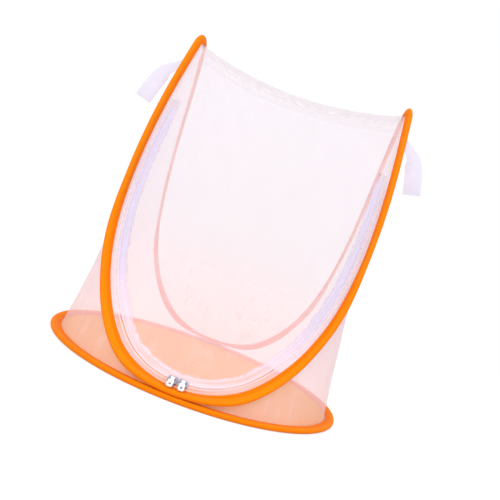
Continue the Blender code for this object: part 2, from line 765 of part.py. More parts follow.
def build_sliders():
    """Two sliders that meet at the foot, each with a pull tab on its bridge."""
    over_top = SLIDER_OVER + SLIDER_PLATE
    plate_overlap = SLIDER_PLATE / 2
    bridge_half = BRIDGE_LENGTH / 2
    bridge_top = over_top + BRIDGE_HEIGHT
    post_top = bridge_top - BRIDGE_WALL / 2
    neck_start = -SLIDER_LENGTH / 2 + BRIDGE_WALL
    neck_end = -SLIDER_LENGTH / 2 + SLIDER_NECK_LENGTH
    for side, sign in (("left", -1), ("right", 1)):
        frame = slider_frame(sign)
        slider = make_object("slider_" + side, slider_plate(frame, SLIDER_OVER, over_top),
                             METAL_FINISH)
        neck = box_between(frame, (neck_start, -SLIDER_NECK_WIDTH / 2,
                                   SLIDER_UNDER - plate_overlap),
                           (neck_end, SLIDER_NECK_WIDTH / 2, SLIDER_OVER + plate_overlap))
        tail_post = box_between(frame, (-bridge_half, -BRIDGE_WIDTH / 2, over_top - plate_overlap),
                                (BRIDGE_WALL - bridge_half, BRIDGE_WIDTH / 2, post_top))
        nose_post = box_between(frame, (bridge_half - BRIDGE_WALL, -BRIDGE_WIDTH / 2,
                                        over_top - plate_overlap),
                                (bridge_half, BRIDGE_WIDTH / 2, post_top))
        bar = box_between(frame, (-bridge_half, -BRIDGE_WALL / 2, bridge_top - BRIDGE_WALL),
                          (bridge_half, BRIDGE_WALL / 2, bridge_top))
        under_plate = slider_plate(frame, SLIDER_UNDER - SLIDER_PLATE, SLIDER_UNDER)
        for body in (neck, under_plate, tail_post, nose_post, bar):
            combined(slider, body, "UNION")
        set_origin(slider, foot_centre())
        build_pull_tab(side, frame)


def foot_centre():
    """Centre of the foot arc, which the sliders travel round."""
    back = Vector((0.0, math.sin(FOOT_LEAN), math.cos(FOOT_LEAN)))
    return foot_point(0.0) + back * FOOT_ARC_RADIUS


def tab_barrel(radius, half_length):
    """A round bar about the tab's own axis, which is X."""
    rings = []
    for across in (-half_length, half_length):
        rings.append(circle_ring(AXIS_X * across, AXIS_Y, AXIS_Z, radius, TAB_BARREL_SIDES))
    return sweep(rings, False)


def tab_plate(outline, half_thickness):
    """A flat plate in the tab's own space, with Y down the tab."""
    rings = []
    for up in (-half_thickness, half_thickness):
        rings.append([Vector((across, down, up)) for across, down in outline])
    return sweep(rings, False)


def build_pull_tab(side, frame):
    """A flat pull tab whose barrel turns on the slider's bridge, hanging over the binding."""
    body = make_object("pull_tab_" + side,
                       tab_barrel(TAB_BARREL_RADIUS, TAB_BARREL_LENGTH / 2), TAB_FINISH)
    root_half = TAB_BARREL_LENGTH / 2 - GAP
    root_end = TAB_SHOULDER + TAB_CORNER
    root = [(-root_half, 0.0), (root_half, 0.0), (root_half, root_end), (-root_half, root_end)]
    combined(body, tab_plate(root, TAB_ROOT_THICKNESS / 2), "UNION")
    combined(body, tab_plate(rounded_outline(TAB_WIDTH, TAB_CORNER, TAB_SHOULDER, TAB_LENGTH),
                             TAB_THICKNESS / 2), "UNION")
    combined(body, tab_barrel(TAB_BARREL_BORE, TAB_BARREL_LENGTH), "DIFFERENCE")
    hole_end = TAB_LENGTH - TAB_HOLE_MARGIN
    hole = rounded_outline(TAB_HOLE_WIDTH, TAB_HOLE_WIDTH / 2, hole_end - TAB_HOLE_LENGTH,
                           hole_end)
    combined(body, tab_plate(hole, TAB_THICKNESS), "DIFFERENCE")

    centre, along, inward, face = frame
    lean = math.pi / 2 - FOOT_LEAN - TAB_SLOPE
    hang = face * math.sin(lean) - inward * math.cos(lean)
    lift = face * math.cos(lean) + inward * math.sin(lean)
    body.data.transform(Matrix((hang.cross(lift), hang, lift)).transposed().to_4x4())
    body.location = centre + face * BRIDGE_BAR_LEVEL


def rounded_outline(width, radius, low, high):
    """A long plate's outline with round corners, as pairs across and along."""
    half = width / 2
    quarter_turn = math.pi / 2
    outline = []
    for centre_x, centre_y, start in ((half - radius, low + radius, -quarter_turn),
                                      (half - radius, high - radius, 0.0),
                                      (radius - half, high - radius, quarter_turn),
                                      (radius - half, low + radius, math.pi)):
        for step in range(TAB_CORNER_STEPS + 1):
            angle = start + quarter_turn * step / TAB_CORNER_STEPS
            outline.append((centre_x + radius * math.cos(angle),
                            centre_y + radius * math.sin(angle)))
    return outline


def ribbon_rows():
    """Rows across the right ribbon, from its sewn end to its cut end."""
    station = QUARTER[RIDGE - RIBBON_STATION_STEPS]
    root = (station.bound(WIRE_PLACE, EDGE_RADIUS + GAP + RIBBON_THICKNESS / 2)
            + station.along * RIBBON_RISE)
    end = root + Vector((RIBBON_REACH, -RIBBON_FORWARD, -RIBBON_DROP))
    leave = (station.outside * math.cos(RIBBON_LEAVE_SLOPE)
             - station.along * math.sin(RIBBON_LEAVE_SLOPE))
    arrive = Vector((math.cos(RIBBON_END_SLOPE), 0.0, -math.sin(RIBBON_END_SLOPE)))
    root_across = -station.along
    end_across = Vector((-math.sin(RIBBON_END_SLOPE), 0.0, -math.cos(RIBBON_END_SLOPE)))
    first_pull = root + leave * RIBBON_PULL
    last_pull = end - arrive * RIBBON_PULL
    rows = []
    for step in range(RIBBON_STEPS + 1):
        share = step / RIBBON_STEPS
        rest = 1 - share
        middle = (root * rest ** 3 + first_pull * (3 * rest ** 2 * share)
                  + last_pull * (3 * rest * share ** 2) + end * share ** 3)
        turn = smooth_share(min(share / RIBBON_TURN_SHARE, 1.0))
        across = root_across.lerp(end_across, turn).normalized() * (RIBBON_WIDTH / 2)
        rows.append([middle - across, middle, middle + across])
    return root, rows


def build_ribbons():
    """A ribbon on each side, sewn by one end to the binding, that droops outwards."""
    root, rows = ribbon_rows()
    for side, sign in (("left", -1), ("right", 1)):
        flip = Matrix.Diagonal((sign, 1.0, 1.0))
        turned = [[flip @ point for point in row] for row in rows]
        ribbon = make_cloth("ribbon_" + side, cloth_grid(turned), RIBBON_THICKNESS,
                            RIBBON_FINISH)
        set_origin(ribbon, flip @ root)


# Finishes: colour, roughness, metallic and alpha
BINDING_FINISH = ((1.0, 0.262, 0.007), 0.6)
FLOOR_FINISH = ((1.0, 0.42, 0.12), 0.7)
NET_FINISH = ((0.95, 0.80, 0.88), 0.7, 0.0, 0.45)
TAPE_FINISH = ((0.82, 0.80, 0.93), 0.75)
COIL_FINISH = ((0.85, 0.85, 0.95), 0.45)
RIBBON_FINISH = ((0.86, 0.84, 0.95), 0.5)
METAL_FINISH = ((0.45, 0.48, 0.56), 0.35, 0.9)
TAB_FINISH = ((0.88, 0.88, 0.92), 0.4)
WIRE_FINISH = ((0.35, 0.36, 0.38), 0.35, 1.0)
FERRULE_FINISH = ((0.55, 0.55, 0.56), 0.3, 1.0)


def clear_scene():
    """Remove the objects that are already in the scene."""
    for item in list(bpy.data.objects):
        bpy.data.objects.remove(item)


def main():
    """Build every piece."""
    clear_scene()
    build_base()
    build_hoop()
    build_side_panels()
    build_back_panel()
    build_top_panels()
    build_zip()
    build_door()
    build_sliders()
    build_ribbons()


main()
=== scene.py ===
"""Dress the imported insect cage: nets, bindings, zip, ribbons, stage and camera.

Metres, +Z up. The zip door faces -Y. Every place is worked out from the hoop's path, which
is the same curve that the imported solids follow.
"""
import math
from collections import namedtuple

import bmesh
import bpy
from mathutils import Matrix, Vector, noise


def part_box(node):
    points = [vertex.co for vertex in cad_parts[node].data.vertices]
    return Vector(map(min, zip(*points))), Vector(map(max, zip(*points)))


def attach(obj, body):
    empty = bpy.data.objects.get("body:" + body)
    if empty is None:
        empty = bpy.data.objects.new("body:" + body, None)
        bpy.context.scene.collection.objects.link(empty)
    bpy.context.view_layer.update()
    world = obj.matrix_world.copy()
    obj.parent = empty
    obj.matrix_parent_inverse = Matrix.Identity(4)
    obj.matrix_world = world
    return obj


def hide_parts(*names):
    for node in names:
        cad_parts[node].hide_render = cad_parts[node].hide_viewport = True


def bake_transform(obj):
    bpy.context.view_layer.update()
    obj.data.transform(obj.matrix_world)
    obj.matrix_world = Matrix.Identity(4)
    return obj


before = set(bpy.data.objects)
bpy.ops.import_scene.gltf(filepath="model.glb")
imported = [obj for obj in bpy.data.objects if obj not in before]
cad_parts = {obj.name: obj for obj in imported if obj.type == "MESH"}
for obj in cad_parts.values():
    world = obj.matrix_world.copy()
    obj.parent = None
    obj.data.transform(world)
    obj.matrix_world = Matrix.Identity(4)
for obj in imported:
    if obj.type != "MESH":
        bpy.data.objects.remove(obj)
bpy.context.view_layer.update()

bl_info = {
    "name": "Insect Cage Dressing",
    "version": (1, 0, 0),
    "blender": (4, 5, 0),
    "location": "View3D > Sidebar > Cage",
    "description": "Builds the nets, bindings, zip and ribbons of a pop-up insect cage",
    "category": "Object",
}

MM = 0.001

# Overall sizes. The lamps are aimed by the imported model's own height
TOTAL_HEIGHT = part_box("hoop_binding")[1][2]
BASE_RADIUS = 165.0 * MM
HOOP_TOP = 370.0 * MM

# Binding section, from the cloth's seam to the fold round the wire
BINDING_WIDTH = 9.6 * MM
EDGE_RADIUS = 2.2 * MM
WIRE_PLACE = BINDING_WIDTH - EDGE_RADIUS
HEM_HALF = 1.45 * MM
HEM_PINCH = 0.25 * MM
HEM_LIP = 0.15 * MM
HEM_PUCKER = 0.16 * MM
SLEEVE_WAVE = 0.10 * MM
BASE_HEM_TOP = 3.3 * MM
BASE_PUCKER = 0.14 * MM
STITCH_LINE = 2.0 * MM
STITCH_SWELL = 0.12 * MM
STITCH_DIP = 0.3 * MM
SEAM_ALLOWANCE = 5.0 * MM
SEAM_EXIT = 1.2 * MM
PLY_OFFSET = 0.4 * MM
GAP = 0.3 * MM

# Foot of the hoop: an arc in a plane that leans back
FOOT_ARC_RADIUS = 85.2 * MM
FOOT_ARC_ANGLE = math.radians(46.0)
FOOT_LEAN = math.radians(42.5)
FOOT_DIP = math.radians(7.0)
FOOT_SETBACK = 0.6 * MM

# Tips of the hoop
TIP_HALF_SPACING = 129.0 * MM
TIP_RADIUS = 16.6 * MM
TIP_ARC_ANGLE = math.radians(65.2)
TIP_FLANGE_LEAN = math.radians(12.0)

# Arms between foot and tip, and the places where their binding turns
ARM_FOOT_PULL = 116.2 * MM
ARM_TIP_PULL = 134.0 * MM
ARM_TURN_SHARES = (0.34, 0.54, 0.8)
ARM_TURNS = (math.radians(40.0), math.radians(12.0), math.radians(20.0))

BASE_SEAM_RADIUS = BASE_RADIUS - BINDING_WIDTH
FOOT_SEAM_Y = -(BASE_RADIUS - FOOT_SETBACK - BINDING_WIDTH * math.cos(FOOT_DIP))
FOOT_SEAM_Z = 3 * EDGE_RADIUS + GAP + WIRE_PLACE * math.sin(FOOT_DIP)
TIP_SEAM_Z = HOOP_TOP - EDGE_RADIUS - WIRE_PLACE * math.cos(TIP_FLANGE_LEAN)
SIDE_PLY_LEVEL = 2.0 * MM
SIDE_TURN_OFFSET = 2.0 * MM

# Floor cloth. Its rumples rise over a strip inside the seam, and each layer of them has a
# scale, a seed, a lift and a depth
FLOOR_LEVEL = 1.1 * MM
FLOOR_THICKNESS = 0.3 * MM
FLOOR_FREE = 25.0 * MM
FLOOR_RUMPLES = ((22.0, 9.0, 0.25, 0.6 * MM), (70.0, 3.0, 0.0, 0.2 * MM))

# Zip
ZIP_MARGIN = 6.0 * MM
COIL_GAP = 1.4 * MM
COIL_WIDTH = 1.4 * MM
COIL_HEIGHT = 1.4 * MM
COIL_LEVEL = 1.3 * MM
COIL_PITCH = 1.3 * MM
COIL_THREAD = 0.26 * MM
COIL_TOUCH = 0.45 * MM  # from the middle line to the coils and to the tapes' inner edges
TAPE_FLAT = 4.2 * MM
INNER_TAPE_WIDTH = 11.0 * MM
TAPE_WAVING_BELOW = 150 * MM
TAPE_LIFT = 1.3 * MM
STOP_LENGTH = 3.0 * MM
DOOR_LAP = 3.5 * MM
DOOR_NET_LEVEL = 0.85 * MM
TOP_NET_GAP = 0.6 * MM
FOLD_LENGTH = 8.0 * MM

# Nets: their steps across, their sag at the top, and their waves, as depth, scale and seed.
# The side nets also draw in between hoop and base ring, and their cloth is measured round a
# cylinder. The hem of a ridge has three lines, each so far down and so far inside
NET_COLUMNS = 40
DOOR_COLUMNS = 36
RIDGE_SAG = 18.0 * MM
ROOF_SAG = 22.0 * MM
BACK_WAVES = (1.0 * MM, 40.0, 7.0)
FRONT_WAVES = (0.8 * MM, 36.0, 17.0)
SIDE_WAVES = (1.6 * MM, 55.0, 5.0)
SIDE_STEPS = 22
SIDE_DRAW = 0.022
SIDE_FULL_SPAN = 200 * MM
SIDE_WRAP = 0.15
RIDGE_HEM = ((0.0, 0.4 * MM), (2.5 * MM, 0.7 * MM), (5.0 * MM, 0.5 * MM))
RIDGE_HEM_LEAN = 0.3

# Ribbons
RIBBON_WIDTH = 19.0 * MM
RIBBON_LEVEL = EDGE_RADIUS + 0.6 * MM
RIBBON_REACH = 21.0 * MM
RIBBON_DROP = 53.0 * MM
RIBBON_FORWARD = 10.0 * MM
RIBBON_PULL = 22.0 * MM
RIBBON_RISE = 12.0 * MM
RIBBON_TURN_SHARE = 0.6
RIBBON_LEAVE_SLOPE = math.radians(25.0)
RIBBON_END_SLOPE = math.radians(76.0)
RIBBON_CUP = 1.2 * MM

# Finishes: waves per metre along each axis, heights between which the floor's painted warm
# light fades, distances from the binding's fold and hem between which painted shade darkens
# it, and distances from an edge between which a finish changes
CREASE_SCALES = (120.0, 120.0, 16.0)
STREAK_SCALES = (90.0, 90.0, 6.0)
NET_WARM_HEIGHTS = (20.0 * MM, 160.0 * MM)
TAPE_WARM_HEIGHTS = (20.0 * MM, 100.0 * MM)
FOLD_SHADE_SPAN = (0.4 * MM, 2.6 * MM)
HEM_SHADOW_SPAN = (4.6 * MM, 2.6 * MM)
TAPE_END_FADE = (24.0 * MM, 3.0 * MM)
TAPE_EDGE_FADE = (3.4 * MM, 0.8 * MM)
TAPE_FRAY = 5.0 * MM
RIBBON_EDGE = (1.6 * MM, 1.1 * MM)

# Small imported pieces: how their names start, their material, and how wide their edges are
# softened
SMALL_PIECES = (("slider", "metal", 0.18 * MM), ("pull_tab", "tab", 0.16 * MM),
                ("zip_stop", "coil", 0.2 * MM), ("base_wire", "wire", 0.0),
                ("hoop_wire", "wire", 0.0))

# Camera: place and turn that match the photograph's view
CAMERA_PLACE = Vector((30.8 * MM, -518.5 * MM, 111.3 * MM))
CAMERA_TARGET = Vector((11.9 * MM, 0.0, 145.5 * MM))
CAMERA_ROLL = math.radians(20.56)
CAMERA_SENSOR = 36.0
FOCAL_PIXELS = 440.5
PHOTO_PIXELS = 500

# Stage: half its width, its level, and how much it glows to keep the background white
STAGE_HALF = 40.0
STAGE_LEVEL = -0.2 * MM
STAGE_GLOW = 0.47

# Lamps: place, size and power
LAMPS = {"key_lamp": (Vector((-0.6, -1.5, 0.9)), 1.0, 13.0),
         "fill_lamp": (Vector((1.3, -1.1, 0.9)), 1.2, 8.0)}

# Steps along each stretch of a quarter of the hoop
FOOT_STEPS = 24
ARM_STEPS = 42
TIP_STEPS = 18
DOOR_TOP = FOOT_STEPS + 33
RIDGE = FOOT_STEPS + ARM_STEPS
RIBBON_PLACE = RIDGE - 6
BASE_STEPS = 288

# The two sides, and the sign of x there
SIDES = (("left", -1), ("right", 1))

# What the settings of one kind share
LENGTH = {"unit": "LENGTH", "precision": 5}
COLOUR = {"subtype": "COLOR", "size": 3, "min": 0.0, "max": 1.0}


class CageSizes(bpy.types.PropertyGroup):
    """Sizes of the cage's fine detail."""

    net_pitch: bpy.props.FloatProperty(
        name="Net pitch", description="Distance between the net's holes",
        default=0.85 * MM, **LENGTH)
    net_hole: bpy.props.FloatProperty(
        name="Net hole", description="Radius of the net's holes", default=0.33 * MM, **LENGTH)
    thread_glow: bpy.props.FloatProperty(
        name="Thread glow", description="Share of the light that the net's white threads let by",
        default=0.5, min=0.0, max=1.0)
    weave_pitch: bpy.props.FloatProperty(
        name="Weave pitch", description="Distance between threads of the woven tapes",
        default=0.55 * MM, **LENGTH)
    stitch_pitch: bpy.props.FloatProperty(
        name="Stitch pitch", description="Distance from stitch to stitch",
        default=3.2 * MM, **LENGTH)
    stitch_length: bpy.props.FloatProperty(
        name="Stitch length", description="Length of thread that shows in a stitch",
        default=2.3 * MM, **LENGTH)
    thread_radius: bpy.props.FloatProperty(
        name="Thread radius", description="Radius of the sewing thread",
        default=0.16 * MM, **LENGTH)


class CageColours(bpy.types.PropertyGroup):
    """Colours of the cage's materials."""

    binding: bpy.props.FloatVectorProperty(
        name="Binding", description="Orange folded tape", default=(1.0, 0.25, 0.002), **COLOUR)
    floor: bpy.props.FloatVectorProperty(
        name="Floor cloth", description="Light orange cloth",
        default=(1.0, 0.44, 0.015), **COLOUR)
    net: bpy.props.FloatVectorProperty(
        name="Net", description="Threads of the net", default=(0.765, 0.715, 0.77), **COLOUR)
    side_net: bpy.props.FloatVectorProperty(
        name="Side nets", description="Threads of the side nets",
        default=(0.77, 0.55, 0.65), **COLOUR)
    # Painted warm light: the net's threads are made pinker near the floor, standing in for light
    # thrown up by the orange floor cloth
    net_floor_glow: bpy.props.FloatVectorProperty(
        name="Net near the floor", description="Threads of the net where it is dyed pinker",
        default=(0.88, 0.64, 0.68), **COLOUR)
    tape: bpy.props.FloatVectorProperty(
        name="Zip tape", description="Lavender white tape",
        default=(0.64, 0.58, 0.76), **COLOUR)
    # Painted warm light: the tape is made pinker round the foot, standing in for light thrown up
    # by the orange floor cloth
    tape_floor_glow: bpy.props.FloatVectorProperty(
        name="Zip tape near the floor", description="Pinker tape round the foot",
        default=(0.97, 0.68, 0.76), **COLOUR)
    seam_tape: bpy.props.FloatVectorProperty(
        name="Seam tape", description="Tape beside the binding, with net sewn under it",
        default=(0.80, 0.67, 0.78), **COLOUR)
    coil: bpy.props.FloatVectorProperty(
        name="Zip coil", description="Nylon coil", default=(0.90, 0.82, 0.90), **COLOUR)
    metal: bpy.props.FloatVectorProperty(
        name="Slider", description="Blue grey metal", default=(0.36, 0.40, 0.50), **COLOUR)
    tab: bpy.props.FloatVectorProperty(
        name="Pull tab", description="White plastic", default=(0.86, 0.86, 0.92), **COLOUR)
    ribbon: bpy.props.FloatVectorProperty(
        name="Ribbon", description="Pale satin ribbon", default=(0.65, 0.59, 0.71), **COLOUR)


class Place(namedtuple("Place", "seam along flange outside inward face")):
    """One place along the hoop's seam, with the directions that pieces follow there."""

    def mirrored(self, sign_x, sign_y):
        flip = Matrix.Diagonal((sign_x, sign_y, 1.0))
        return Place(*[flip @ part for part in self])

    def towards(self, other, share):
        """The place a share of the way to another one."""
        seam, *rest = [mine.lerp(theirs, share) for mine, theirs in zip(self, other)]
        return Place(seam, *[part.normalized() for part in rest])

    def bound(self, across, up):
        """A point of the binding: across its width, and up from its middle plane."""
        return self.seam + self.flange * across + self.outside * up

    def panelled(self, inward, up):
        """A point of the front: inward from the zip's middle line, and up from it."""
        return self.seam + self.inward * (ZIP_MARGIN + inward) + self.face * up


def eased(share):
    """A share, kept from 0 to 1, that starts and ends level."""
    share = min(1.0, max(0.0, share))
    return share * share * (3 - 2 * share)


def line_reach(points):
    """Length along a line of points, at each of them."""
    reached = [0.0]
    for before, after in zip(points, points[1:]):
        reached.append(reached[-1] + (after - before).length)
    return reached


def foot_point(angle):
    """A point of the seam on the foot's arc, an angle from the foot."""
    climb = FOOT_ARC_RADIUS * (1 - math.cos(angle))
    return Vector((FOOT_ARC_RADIUS * math.sin(angle),
                   FOOT_SEAM_Y + climb * math.sin(FOOT_LEAN),
                   FOOT_SEAM_Z + climb * math.cos(FOOT_LEAN)))


def foot_along(angle):
    """The seam's direction on the foot's arc."""
    return Vector((math.cos(angle), math.sin(angle) * math.sin(FOOT_LEAN),
                   math.sin(angle) * math.cos(FOOT_LEAN)))


def tip_point(angle):
    """A point of the seam on the tip's arc, an angle from the tip."""
    return Vector((TIP_HALF_SPACING, -TIP_RADIUS * math.sin(angle),
                   TIP_SEAM_Z - TIP_RADIUS * (1 - math.cos(angle))))


def tip_along(angle):
    """The seam's direction on the tip's arc."""
    return Vector((0.0, math.cos(angle), math.sin(angle)))


def curve_point(start, leave, arrive, end, share):
    """A point of a cubic curve."""
    rest = 1 - share
    return (start * rest ** 3 + leave * (3 * rest ** 2 * share)
            + arrive * (3 * rest * share ** 2) + end * share ** 3)


def curve_along(start, leave, arrive, end, share):
    """The direction of a cubic curve."""
    rest = 1 - share
    step = ((leave - start) * rest ** 2 + (arrive - leave) * (2 * rest * share)
            + (end - arrive) * share ** 2)
    return step.normalized()


def quarter_places():
    """Places from the front foot to the right tip."""
    start = foot_point(FOOT_ARC_ANGLE)
    end = tip_point(TIP_ARC_ANGLE)
    arm = (start, start + foot_along(FOOT_ARC_ANGLE) * ARM_FOOT_PULL,
           end - tip_along(TIP_ARC_ANGLE) * ARM_TIP_PULL, end)
    line = []
    for step in range(FOOT_STEPS + 1):
        angle = FOOT_ARC_ANGLE * step / FOOT_STEPS
        line.append((foot_point(angle), foot_along(angle)))
    for step in range(1, ARM_STEPS):
        share = step / ARM_STEPS
        line.append((curve_point(*arm, share), curve_along(*arm, share)))
    for step in range(TIP_STEPS + 1):
        angle = TIP_ARC_ANGLE * (1 - step / TIP_STEPS)
        line.append((tip_point(angle), tip_along(angle)))
    reached = line_reach([point for point, _ in line])
    foot_share = reached[FOOT_STEPS] / reached[-1]
    aims = [(0.0, Vector((0.0, -math.cos(FOOT_DIP), -math.sin(FOOT_DIP)))),
            (foot_share, Vector((math.sin(FOOT_ARC_ANGLE),
                                 -math.cos(FOOT_ARC_ANGLE) * math.sin(FOOT_LEAN),
                                 -math.cos(FOOT_ARC_ANGLE) * math.cos(FOOT_LEAN))))]
    aims += [(share, Vector((math.sin(turn), -math.cos(turn), 0.0)))
             for share, turn in zip(ARM_TURN_SHARES, ARM_TURNS)]
    aims.append((1.0, Vector((math.sin(TIP_FLANGE_LEAN), 0.0, math.cos(TIP_FLANGE_LEAN)))))
    places = []
    for number, (point, along) in enumerate(line):
        share = reached[number] / reached[-1]
        for (low, aim), (high, next_aim) in zip(aims, aims[1:]):
            if share <= high:
                break
        aim = aim.lerp(next_aim, eased((share - low) / (high - low)))
        flange = (aim - along * aim.dot(along)).normalized()
        if number <= FOOT_STEPS:
            face = Vector((0.0, -math.cos(FOOT_LEAN), math.sin(FOOT_LEAN)))
        else:
            face = Vector((0.0, -along.z, along.y)).normalized()
        places.append(Place(point, along, flange, along.cross(flange),
                            face.cross(along).normalized(), face))
    return places


QUARTER = quarter_places()


def right_half():
    """Places from the front foot over the right tip to the back foot."""
    return QUARTER + [place.mirrored(1, -1) for place in QUARTER[-2::-1]]


def whole_loop():
    """Places once round the hoop."""
    return right_half() + [place.mirrored(-1, 1) for place in right_half()[-2:0:-1]]


def front_arc(top):
    """Places of the front from the left arm, down round the foot, to the right arm."""
    return [place.mirrored(-1, 1) for place in QUARTER[top:0:-1]] + QUARTER[:top + 1]


class Track:
    """A line of places that can be asked for any length along it."""

    def __init__(self, places, point_of):
        self.places = places
        self.reached = line_reach([point_of(place) for place in places])
        self.length = self.reached[-1]
        self.number = 0

    def at(self, length):
        """The place at a length. Lengths are asked for in rising order."""
        if length < self.reached[self.number]:
            self.number = 0
        while self.number < len(self.places) - 2 and self.reached[self.number + 1] < length:
            self.number += 1
        low = self.reached[self.number]
        high = self.reached[self.number + 1]
        return self.places[self.number].towards(self.places[self.number + 1],
                                                (length - low) / (high - low))


def around(radius, height, angle):
    """A point at an angle round the cage, measured from the front towards the right."""
    return Vector((radius * math.sin(angle), -radius * math.cos(angle), height))


def base_places():
    """Places round the base ring, with the binding's directions."""
    places = []
    for step in range(BASE_STEPS):
        angle = 2 * math.pi * step / BASE_STEPS
        outward = around(1.0, 0.0, angle)
        along = Vector((math.cos(angle), math.sin(angle), 0.0))
        up = Vector((0.0, 0.0, 1.0))
        places.append(Place(around(BASE_SEAM_RADIUS, 0.0, angle), along, outward, up,
                            -outward, up))
    return places


class Value:
    """A shader socket that can stand in a Python expression."""

    def __init__(self, shade, socket):
        self.shade = shade
        self.socket = socket

    def maths(self, operation, *others):
        """The result of a maths node on this value and others."""
        return self.shade.add("ShaderNodeMath", {"operation": operation},
                              dict(enumerate((self,) + others)))

    def __add__(self, other):
        return self.maths("ADD", other)

    def __sub__(self, other):
        return self.maths("SUBTRACT", other)

    def __rsub__(self, other):
        return self.shade.add("ShaderNodeMath", {"operation": "SUBTRACT"}, {0: other, 1: self})

    def __mul__(self, other):
        return self.maths("MULTIPLY", other)

    __rmul__ = __mul__

    def __truediv__(self, other):
        return self.maths("DIVIDE", other)

    def fract(self):
        return self.maths("FRACT")

    def size(self):
        return self.maths("ABSOLUTE")

    def wave(self):
        """The sine of a turn count, from -1 to 1."""
        return (self * (2 * math.pi)).maths("SINE")

    def least(self, other):
        return self.maths("MINIMUM", other)

    def most(self, other):
        return self.maths("MAXIMUM", other)

    def root(self):
        return self.maths("SQRT")

    def stepped(self, low, high):
        """0 below low, 1 above high and smooth between."""
        return self.shade.add("ShaderNodeMapRange", {"interpolation_type": "SMOOTHSTEP"},
                              {0: self, 1: low, 2: high, 3: 0.0, 4: 1.0})


class Shade:
    """A material, or the world, under construction."""

    def __init__(self, owner):
        self.owner = owner
        owner.use_nodes = True
        self.tree = owner.node_tree
        self.tree.nodes.clear()

    def node(self, kind, settings=None, sockets=None):
        """Add a node: its settings first, then the values or links of its sockets."""
        made = self.tree.nodes.new(kind)
        for name, value in (settings or {}).items():
            setattr(made, name, value)
        for name, value in (sockets or {}).items():
            if isinstance(value, Value):
                self.tree.links.new(value.socket, made.inputs[name])
            else:
                made.inputs[name].default_value = value
        return made

    def add(self, kind, settings=None, sockets=None, output=0):
        """Add a node and return one of its outputs as a value."""
        return Value(self, self.node(kind, settings, sockets).outputs[output])

    def cloth(self):
        """The place on the cloth across and along its threads, in metres."""
        place = self.add("ShaderNodeAttribute", {"attribute_name": "cloth"}, {}, "Vector")
        parts = self.node("ShaderNodeSeparateXYZ", {}, {0: place})
        return Value(self, parts.outputs[0]), Value(self, parts.outputs[1])

    def place(self):
        """The place in the object's own space."""
        return self.add("ShaderNodeTexCoord", {}, {}, "Object")

    def height(self):
        """Height above the ground, in metres."""
        return self.add("ShaderNodeSeparateXYZ", {}, {0: self.place()}, 2)

    def ray(self, kind):
        """1 for a ray of one kind, otherwise 0."""
        return self.add("ShaderNodeLightPath", {}, {}, kind)

    def lit_through(self, cover, glow):
        """A cover that lets a share of the light by, as white threads do."""
        return (1 - self.ray("Is Shadow Ray") * glow) * cover

    def noise(self, vector, scale, detail):
        """Soft noise from 0 to 1 at a place."""
        return self.add("ShaderNodeTexNoise", {}, {"Vector": vector, "Scale": scale,
                                                   "Detail": detail, "Roughness": 0.5})

    def clouds(self, scale, detail=2.0):
        """Soft noise from 0 to 1."""
        return self.noise(self.place(), scale, detail)

    def drawn_out(self, scales, detail):
        """Soft noise with its own scale along each axis."""
        place = self.add("ShaderNodeMapping", {}, {"Vector": self.place(), "Scale": scales})
        return self.noise(place, 1.0, detail)

    def mixed(self, share, low, high, blend="MIX"):
        """A colour between two colours."""
        return self.add("ShaderNodeMix", {"data_type": "RGBA", "blend_type": blend},
                        {"Factor": share, "A": low, "B": high}, "Result")

    def varied(self, share, colour, dark, light):
        """A colour that varies between a darker and a lighter tone."""
        return self.mixed(share, shifted(colour, dark), shifted(colour, light))

    def bumped(self, height, depth):
        """A normal raised by a height."""
        return self.add("ShaderNodeBump", {}, {"Height": height, "Distance": depth,
                                               "Strength": 1.0})

    def finished(self, sockets):
        """Close the material with a Principled shader."""
        shader = self.add("ShaderNodeBsdfPrincipled", {}, sockets)
        self.node("ShaderNodeOutputMaterial", {}, {"Surface": shader})
        return self.owner


def shifted(colour, factor):
    """A colour made lighter or darker, kept between 0 and 1."""
    return (*(min(1.0, part * factor) for part in colour), 1.0)


def new_shade(name):
    """A new material under construction."""
    return Shade(bpy.data.materials.new(name))


def net_material(name, colour, floor_glow_net_colour, sizes):
    """Fine knitted net: round holes in staggered rows, closer where the cloth is creased."""
    shade = new_shade(name)
    across, along = shade.cloth()
    # Painted warm light: towards the floor the threads take the pinker colour that stands in for
    # light from the orange floor cloth
    low = 1 - shade.height().stepped(*NET_WARM_HEIGHTS)
    creases = shade.drawn_out(CREASE_SCALES, 2.0)
    crease = creases.stepped(0.5, 0.72) * (low * 0.15 + 0.25)
    jitter = 0.7 * MM
    across = across + (shade.clouds(240.0, 1.0) - 0.5) * jitter
    along = along + (shade.clouds(200.0, 1.0) - 0.5) * jitter
    pitch = sizes.net_pitch
    row = pitch * math.sqrt(3)
    nearest = None
    for shift in (0.0, 0.5):
        side = ((across / pitch + shift).fract() - 0.5) * pitch
        rise = ((along / row + shift).fract() - 0.5) * row
        distance = (side * side + rise * rise).root()
        nearest = distance if nearest is None else nearest.least(distance)
    edge = 0.06 * MM
    closing = 0.07 * MM
    hole = sizes.net_hole - crease * closing
    thread = nearest.stepped(hole - edge, hole + edge)
    streaks = shade.drawn_out(STREAK_SCALES, 3.0)
    upper = shade.varied(streaks, colour, 0.96, 1.04)
    floor_glow_lower = shade.varied(streaks, floor_glow_net_colour, 0.96, 1.03)
    return shade.finished({
        "Base Color": shade.mixed(low, upper, floor_glow_lower), "Roughness": 0.75,
        "Alpha": shade.lit_through(thread, sizes.thread_glow),
        "Specular IOR Level": 0.2, "Sheen Weight": 0.1, "Sheen Roughness": 0.5,
        "Normal": shade.bumped(nearest, 0.25 * MM)})


